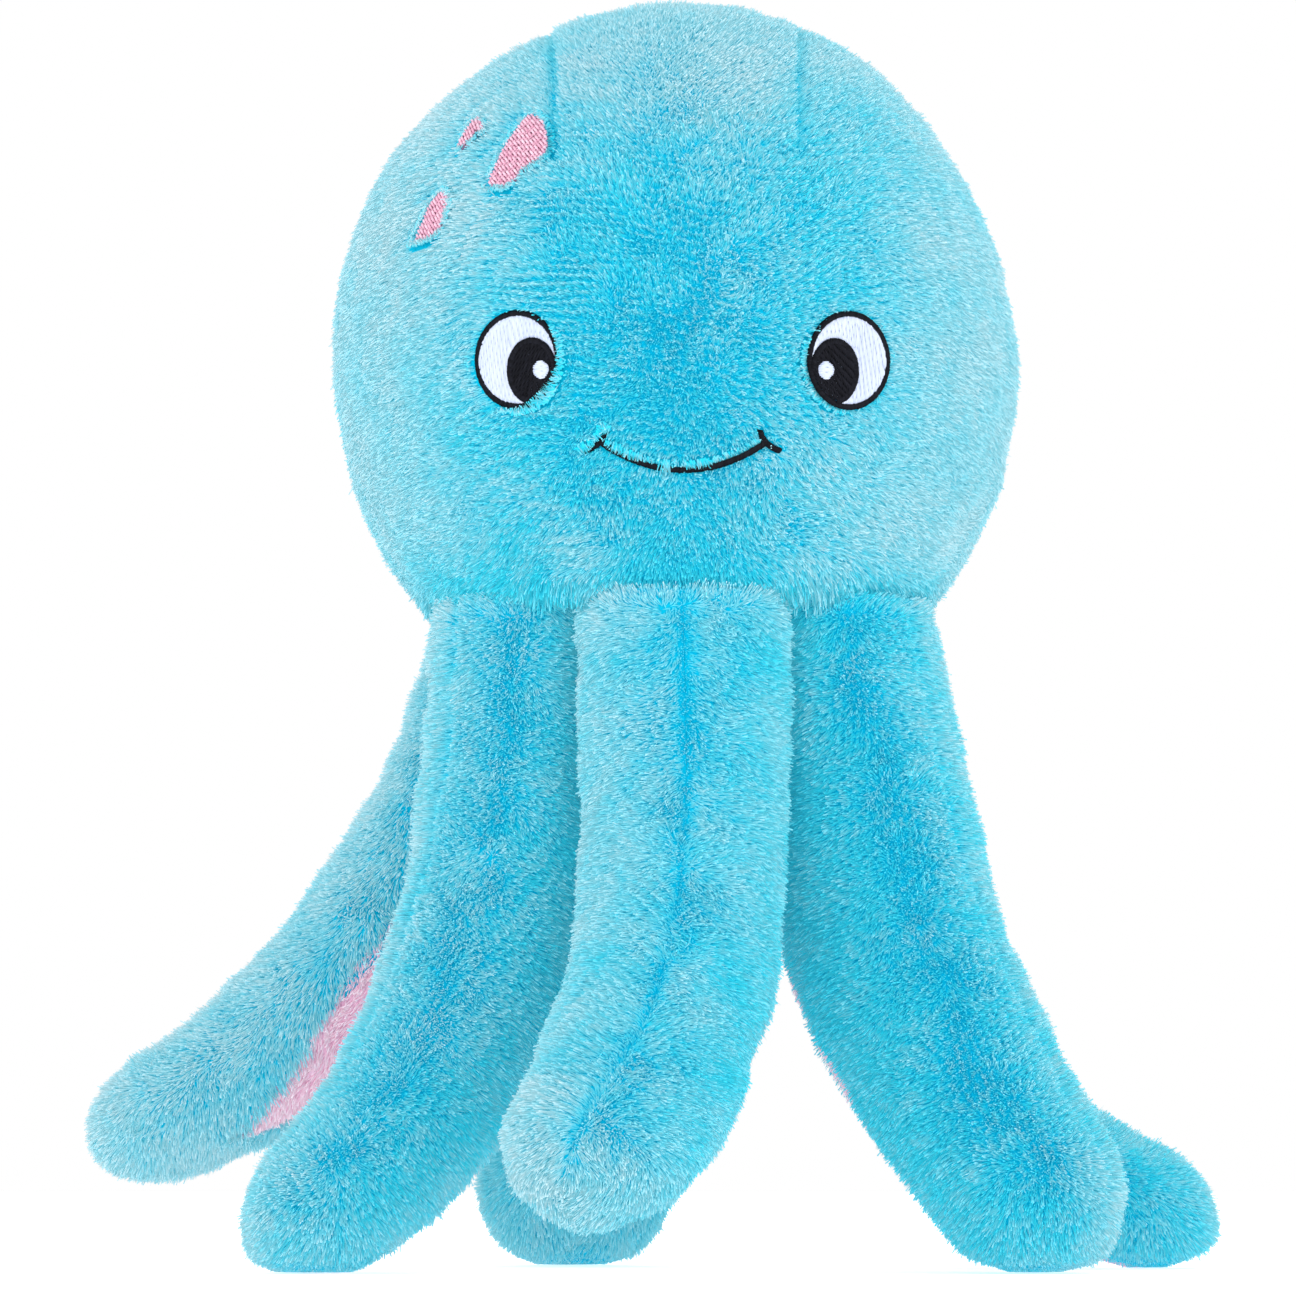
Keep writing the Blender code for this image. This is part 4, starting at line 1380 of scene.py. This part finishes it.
def add_head_pile():
    area = 4 * np.pi * (head_radii.prod() ** (2 / 3))
    count = int(area / face_pitch**2)
    k = np.arange(count) + 0.5
    turn = golden_turn * k
    height = 1 - 2 * k / count
    flat = np.sqrt(1 - height**2)
    ways = np.stack([flat * np.cos(turn), flat * np.sin(turn), height], 1)
    ways = unit(ways + rng.normal(size=ways.shape) * 0.45 * face_pitch / head_radii.mean())
    points = head_place(ways, 0)
    thinned = rng.uniform(size=count) < (face_pitch / back_pitch) ** 2
    points = points[(points[:, 2] > neck_height - 0.0005) & ((points[:, 1] < 0.012) | thinned)]
    gap, off, kind, cover = embroidery_gap(points)
    ragged = rng.normal(size=len(points)) * 0.00012
    middle = over_arms(points)
    above_neck = points[:, 2] - neck_height
    keep = gap + ragged > 0.0001
    points, gap, off, kind, cover, middle, above_neck = [
        values[keep] for values in (points, gap, off, kind, cover, middle, above_neck)
    ]
    number = len(points)
    normals = head_normal(points)
    parted = head_parting(points)
    cloth = leant(head_place(unit(points - head_centre), head_relief(points) - cloth_depth))
    across = (points[:, 0] - head_x) / head_radii[0]
    deep = points[:, 1] / head_radii[1]
    high = (points[:, 2] - head_centre[2]) / head_radii[2]
    ragged = noise(points, 0.0045, 262)

    # Combed outwards to the sides and down, nearly upright in the middle of the face
    comb = np.stack([np.tanh(across * 2.2), np.zeros(number), -0.30 - 0.25 * np.abs(across)], 1)
    sideways = smooth((np.abs(across) - 0.35) / 0.60)
    behind = smooth((deep + 0.1) / 0.6)
    above = smooth((high - 0.50) / 0.35)
    comb[:, 1] -= 0.35 * above * (1 - behind)
    comb[:, 0] += 0.25 * above * (1 - behind)
    napped = np.zeros(number)
    for place_x, place_z, reach, change in nap_places:
        far = np.hypot(points[:, 0] - head_x - place_x, points[:, 2] - head_centre[2] - place_z)
        napped += change * hill(far, reach) * smooth(0.5 - deep * 3)
    lean = 0.22 + 0.60 * np.maximum(sideways, behind) * (1 - 0.7 * above) + 0.24 * above
    lean = np.minimum(lean + 0.9 * np.maximum(napped, 0), 1.0)
    swirl = noise_way(points, 0.018, 201) * 0.40 + noise_way(points, 0.006, 211) * 0.30
    edge = np.maximum(sideways, above)
    way = comb * (0.35 + lean)[:, None] + swirl * (1.15 - 0.90 * edge)[:, None]
    way += rng.normal(size=(number, 3)) * 0.22

    # Beside the neck: between two arms the pile hangs over their shoulders
    low = smooth(1 - above_neck / 0.0060)
    hang = low * (1 - middle)
    way[:, 2] -= 2.5 * np.maximum(hang, 0.5 * low)
    lean = lean * (1 - hang) + 0.95 * hang

    # Pressed beside the embroidery, or falling over it, and parted at the seams
    beside = np.choose(kind, (0.001, 0.0042, 0.0030, 0.0016))
    pressed = smooth(1 - gap / beside)
    falls = (cover > 0.00015) & (gap < 0.0015)
    way += off * (pressed * np.choose(kind, (0, 0.35, 0.3, 0.1)))[:, None]
    way[falls] -= off[falls] * 4.0
    way[falls & (kind == 3), 0] += 1.2
    lean[falls] = 1.36
    raised = np.where(falls, fallen_rise, 0.0)
    length = head_strand_length + 0.0008 * smooth((lean - 0.5) / 0.6)
    length *= 1 + 0.08 * noise(points, 0.010, 221) + rng.normal(size=number) * 0.10
    length *= 1 - 0.20 * pressed - 0.5 * parted
    length += hang * root_drop * (1 + 0.25 * ragged)
    reach = (gap + cover) * (1 + 0.12 * rng.normal(size=number)) * 1.05
    length[falls] = np.clip(reach[falls], 0.0006, 0.0040)
    way[falls] += rng.normal(size=(falls.sum(), 3)) * 1.2
    width = head_strand_width * (1 + rng.normal(size=number) * 0.16) * np.where(falls, 1.1, 1)

    tuft, slope = clumps(points, clump_length, 271)
    tone = 0.26 + 0.10 * noise(points, 0.030, 231) + 0.09 * noise(points, 0.009, 241)
    tone += 0.27 * np.tanh(1.7 * tuft) * (1 - 0.70 * np.maximum(sideways, above))
    tone += rng.normal(size=number) * 0.05 + napped
    # The pile is painted paler towards the sides, the top and the back: painted light, the sheen of
    # pile seen side-on and the light falling on the top.
    tone += 0.44 * sideways + 0.46 * above + 0.20 * behind
    # Painted shade: just over the neck, above the middle of each arm's root, the head's pile is
    # painted deeper.
    tone -= 0.30 * smooth(1 - (above_neck - shade_full_height) / 0.010) * middle
    # Beside the eyes the pile is paler where it is pressed, and painted deeper right at the
    # outline, a painted shade in the recess round the threads.
    tone += np.where(kind == 1, 0.16 * pressed - 0.30 * smooth(1 - gap / 0.0014), 0)
    tone += np.where(kind == 2, 0.22 * smooth(1 - gap / 0.0016), 0)
    # Darker where the pile parts at seams and creases: painted shade in the grooves.
    tone *= 1 - 0.8 * parted
    # Fallen strands vary in tone; the strands that hang between the arms are painted deeper, a
    # painted shade under the head.
    tone += (0.06 + 0.20 * rng.normal(size=number)) * falls - 0.25 * hang
    length[~falls] *= 1 + 0.14 * tuft[~falls]
    front = points[:, 1] < 0
    over_crown = on_crown(points)
    left = points[:, 0] < head_x
    panels = {
        "face_panel": front & ~over_crown,
        "crown_panel": over_crown,
        "back_panel_left": ~front & ~over_crown & left,
        "back_panel_right": ~front & ~over_crown & ~left,
    }
    pull = slope * (clump_pull * (1.7 - 0.9 * np.maximum(sideways, above)) * ~falls)[:, None]
    strands = (cloth, normals, way, lean, length, width, tone, pull, raised)
    for name, mask in panels.items():
        grow(name, [values[mask] for values in strands], blue_pile)


def add_base_pile():
    count = int(math.pi * base_rim[0] * base_rim[1] / under_pitch**2)
    reach = 0.9 * np.sqrt((np.arange(count) + 0.5) / count)
    turn = golden_turn * np.arange(count)
    x, y = np.cos(turn) * reach * base_rim[0], np.sin(turn) * reach * base_rim[1]
    points = np.stack([head_x + x, y, np.full(count, neck_height + root_depth)], 1)
    normals = np.tile(np.array((0, 0, -1.0)), (count, 1))
    way = noise_way(points, 0.008, 251) + rng.normal(size=(count, 3)) * 0.4
    tuft, slope = clumps(points, clump_length, 272)
    tone = 0.45 + rng.normal(size=count) * 0.15 + 0.15 * tuft
    lean, length, width, raised = [np.full(count, value) for value in (0.6, 0.0026, 0.0006, 0.0)]
    strands = (points, normals, way, lean, length, width, tone, slope * clump_pull, raised)
    grow("base_panel", strands, pink_pile)


def add_arm_pile(arm):
    at_grid = np.linspace(0.0, arm.reach - 0.0003, 400)
    _, _, _, half_width, half_thickness, _ = arm.sections(at_grid, np.zeros(400))
    girth = 2 * np.pi * np.sqrt((half_width**2 + half_thickness**2) / 2)
    area = np.concatenate([[0], np.cumsum((girth[1:] + girth[:-1]) / 2 * np.diff(at_grid))])
    pitch = front_arm_pitch if arm.name.startswith("front") else back_arm_pitch
    count = int(area[-1] / pitch**2)
    k = np.arange(count)
    at = np.interp((k + 0.5) / count * area[-1], area, at_grid)
    angle = 2 * np.pi * ((k * (5**0.5 - 1) / 2) % 1)
    at = np.clip(at + rng.normal(size=count) * pitch * 0.45, 0.0002, arm.reach - 0.0004)
    radius = np.maximum(np.interp(at, at_grid, girth) / (2 * np.pi), 0.002)
    angle = angle + rng.normal(size=count) * 0.45 * pitch / radius
    first = arm.spans["upper_panel_right"][0]
    angle = (angle - first) % (2 * np.pi) + first
    under = arm.from_under(angle)
    surface = arm.point(at, angle, 0)
    inside = arm.pink_depth(at, angle, radius)
    pink = inside + 0.0005 * noise(surface, 0.006, 361) > 0
    keep = ~pink | (rng.uniform(size=count) < (pitch / under_pitch) ** 2)
    at, angle, radius, pink, inside, under, surface = [
        values[keep] for values in (at, angle, radius, pink, inside, under, surface)
    ]
    count = len(at)
    normals, round_way, along_way = arm.frame_at(at, angle)
    cloth = arm.point(at, angle, arm.relief(at, angle, surface) - cloth_depth)
    parted = arm.parting(at, angle, surface)
    from_ridge = wrapped(angle - ridge)
    sign = np.where(from_ridge >= 0, 1.0, -1.0)
    to_under = np.where(under >= 0, -1.0, 1.0)
    spread = np.tanh(np.abs(from_ridge) / 0.09)
    near_pink = smooth(1 - np.abs(inside) / 0.0055)
    comb = round_way * (sign * 0.80 * (0.2 + 0.8 * spread) * (1 - near_pink))[:, None]
    comb += round_way * (to_under * 1.5 * near_pink)[:, None]
    comb += along_way * 0.62
    comb[pink] = along_way[pink] * 0.8 + round_way[pink] * (to_under * near_pink)[pink, None]

    # The pile of the root's outer face stands up over the neck's seam
    rooted = smooth(1 - at / 0.0075) * smooth((np.cos(from_ridge) - 0.25) / 0.5)
    comb = comb * (1 - rooted)[:, None] - along_way * (1.6 * rooted)[:, None]
    swirl = noise_way(surface, 0.018, 301) * 0.36 + noise_way(surface, 0.006, 311) * 0.34
    way = comb + swirl + rng.normal(size=(count, 3)) * 0.22
    upright = hill(np.abs(from_ridge) * radius, 0.0013)
    lean = (arm.row["lean"] + 0.14 * noise(surface, 0.02, 321)) * (1 - 0.5 * upright)
    lean = np.where(pink, 0.68, lean + (0.95 - lean) * near_pink)
    lean -= 0.10 * rooted
    varied = 1 + 0.08 * noise(surface, 0.012, 331) + rng.normal(size=count) * 0.10
    length = arm_strand_length * varied
    length *= np.where(pink, 0.90 - 0.25 * near_pink, 1 + 0.20 * near_pink)
    length *= (1 - 0.5 * parted * ~pink) * (1 - 0.34 * rooted)
    # Pressed under the arm's weight
    resting = smooth(1 - (surface[:, 2] - 0.0005) / 0.0065) * smooth(-normals[:, 2] / 0.5)
    length *= 1 - 0.72 * resting
    tuft, slope = clumps(surface, clump_length, 371)
    length *= 1 + 0.12 * tuft
    width = arm_strand_width * (1 + rng.normal(size=count) * 0.16)
    tone = arm.row["tone"] + 0.12 * noise(surface, 0.028, 341) + 0.10 * noise(surface, 0.009, 351)
    # One side of each arm is painted paler: painted light.
    side, change = arm.row["side"]
    tone += change * np.cos(angle - math.radians(side))
    near_tip = smooth((at / arm.reach - 0.74) / 0.20)
    tone += arm.row["tip_tone"] * near_tip + 0.16 * rooted
    tone = np.where(pink, 0.45, tone)
    tone += arm.row["tufts"] * np.tanh(1.7 * tuft) + rng.normal(size=count) * 0.05
    # Darker where the pile parts along the seams: painted shade in the grooves.
    tone *= 1 - 0.8 * parted * ~pink
    pull = slope * (clump_pull * (1.3 - rooted))[:, None]
    strands = (cloth, normals, way, lean, length, width, tone, pull, 0 * at)
    for panel, mask in (
        ("upper_panel_right", ~pink & (from_ridge < 0)),
        ("upper_panel_left", ~pink & (from_ridge >= 0)),
        ("under_panel", pink),
    ):
        slot, material = "blue_plush", blue_pile
        if panel == "under_panel":
            slot, material = "pink_plush", pink_pile
        here = [values[mask] for values in strands]
        grow(f"{arm.name}_arm_{panel}", here, material, arm)


# Stage

floor_reaches = (1, 4, 30)
camera_place = Vector((0, -1.6, 0.02))
camera_aim = Vector((0, 0, 0.1474))
camera_lens = 187.6
# Name, place, height of the point it aims at, size and power in watts
lamps = (
    ("key", (-0.35, -2.0, 0.85), 0.15, 1.0, 8.2),
    ("fill", (0.8, -2.0, 0.30), 0.12, 0.9, 4.5),
    ("side_left", (-1.7, -0.9, 0.6), 0.13, 1.0, 4),
    ("side_right", (1.7, -0.9, 0.6), 0.13, 1.0, 4),
)


def add_stage():
    """A wide white floor, so that every side is seen against white."""
    sides = 48
    points, faces = [(0, 0, 0)], []
    for reach in floor_reaches:
        for turn in range(sides):
            angle = 2 * math.pi * turn / sides
            points.append((reach * math.cos(angle), reach * math.sin(angle), 0))
    for turn in range(sides):
        after = (turn + 1) % sides
        faces.append((0, 1 + turn, 1 + after))
        for ring in range(2):
            first = 1 + ring * sides
            faces.append((first + turn, first + sides + turn, first + sides + after, first + after))
    mesh = bpy.data.meshes.new("studio_floor")
    mesh.from_pydata(points, [], faces)
    mesh.shade_smooth()
    made, tree, shader = new_material("studio_white")
    place = tree.nodes.new("ShaderNodeTexCoord")
    cloud = tree.nodes.new("ShaderNodeTexNoise")
    cloud.inputs["Scale"].default_value = 3
    tree.links.new(place.outputs["Object"], cloud.inputs["Vector"])
    tree.links.new(
        ramp(tree, cloud.outputs["Fac"], ((0, (0.93, 0.93, 0.93, 1)), (1, (0.96, 0.96, 0.96, 1)))),
        shader.inputs["Base Color"],
    )
    shader.inputs["Roughness"].default_value = 0.9
    shader.inputs["Specular IOR Level"].default_value = 0.1
    shader.inputs["Emission Color"].default_value = (1, 1, 1, 1)
    shader.inputs["Emission Strength"].default_value = 0.55
    mesh.materials.append(made)
    floor = bpy.data.objects.new("studio_floor", mesh)
    bpy.context.scene.collection.objects.link(floor)


def add_area(name, place, aim, size, power):
    light = bpy.data.lights.new(name, "AREA")
    light.shape = "DISK"
    light.size = size
    light.energy = power
    made = bpy.data.objects.new(name, light)
    made.location = place
    way = Vector(aim) - Vector(place)
    made.rotation_mode = "QUATERNION"
    made.rotation_quaternion = way.to_track_quat("-Z", "Y")
    bpy.context.scene.collection.objects.link(made)


def add_lights():
    world = bpy.data.worlds.new("studio")
    world.use_nodes = True
    sky = world.node_tree.nodes["Background"]
    sky.inputs["Color"].default_value = (1, 1, 1, 1)
    sky.inputs["Strength"].default_value = 1.0
    bpy.context.scene.world = world
    for name, place, aim_height, size, power in lamps:
        add_area(name, place, (0, 0, aim_height), size, power)


def add_camera():
    camera = bpy.data.objects.new("camera", bpy.data.cameras.new("camera"))
    bpy.context.scene.collection.objects.link(camera)
    camera.location = camera_place
    camera.rotation_mode = "QUATERNION"
    camera.rotation_quaternion = (camera_aim - camera_place).to_track_quat("-Z", "Y")
    camera.data.sensor_width = 36
    camera.data.lens = camera_lens
    camera.data.clip_start = 0.05
    camera.data.clip_end = 20
    camera.data.dof.use_dof = False
    bpy.context.scene.camera = camera


bpy.context.scene.view_settings.view_transform = "Standard"
add_camera()
add_lights()
add_stage()
add_head_cloth()
add_head_filling()
add_base_cloth()
for each in arms.values():
    add_arm_cloth(each)
    add_arm_filling(each)
add_eyes()
add_mouth()
add_spots()
add_head_pile()
add_base_pile()
for each in arms.values():
    add_arm_pile(each)
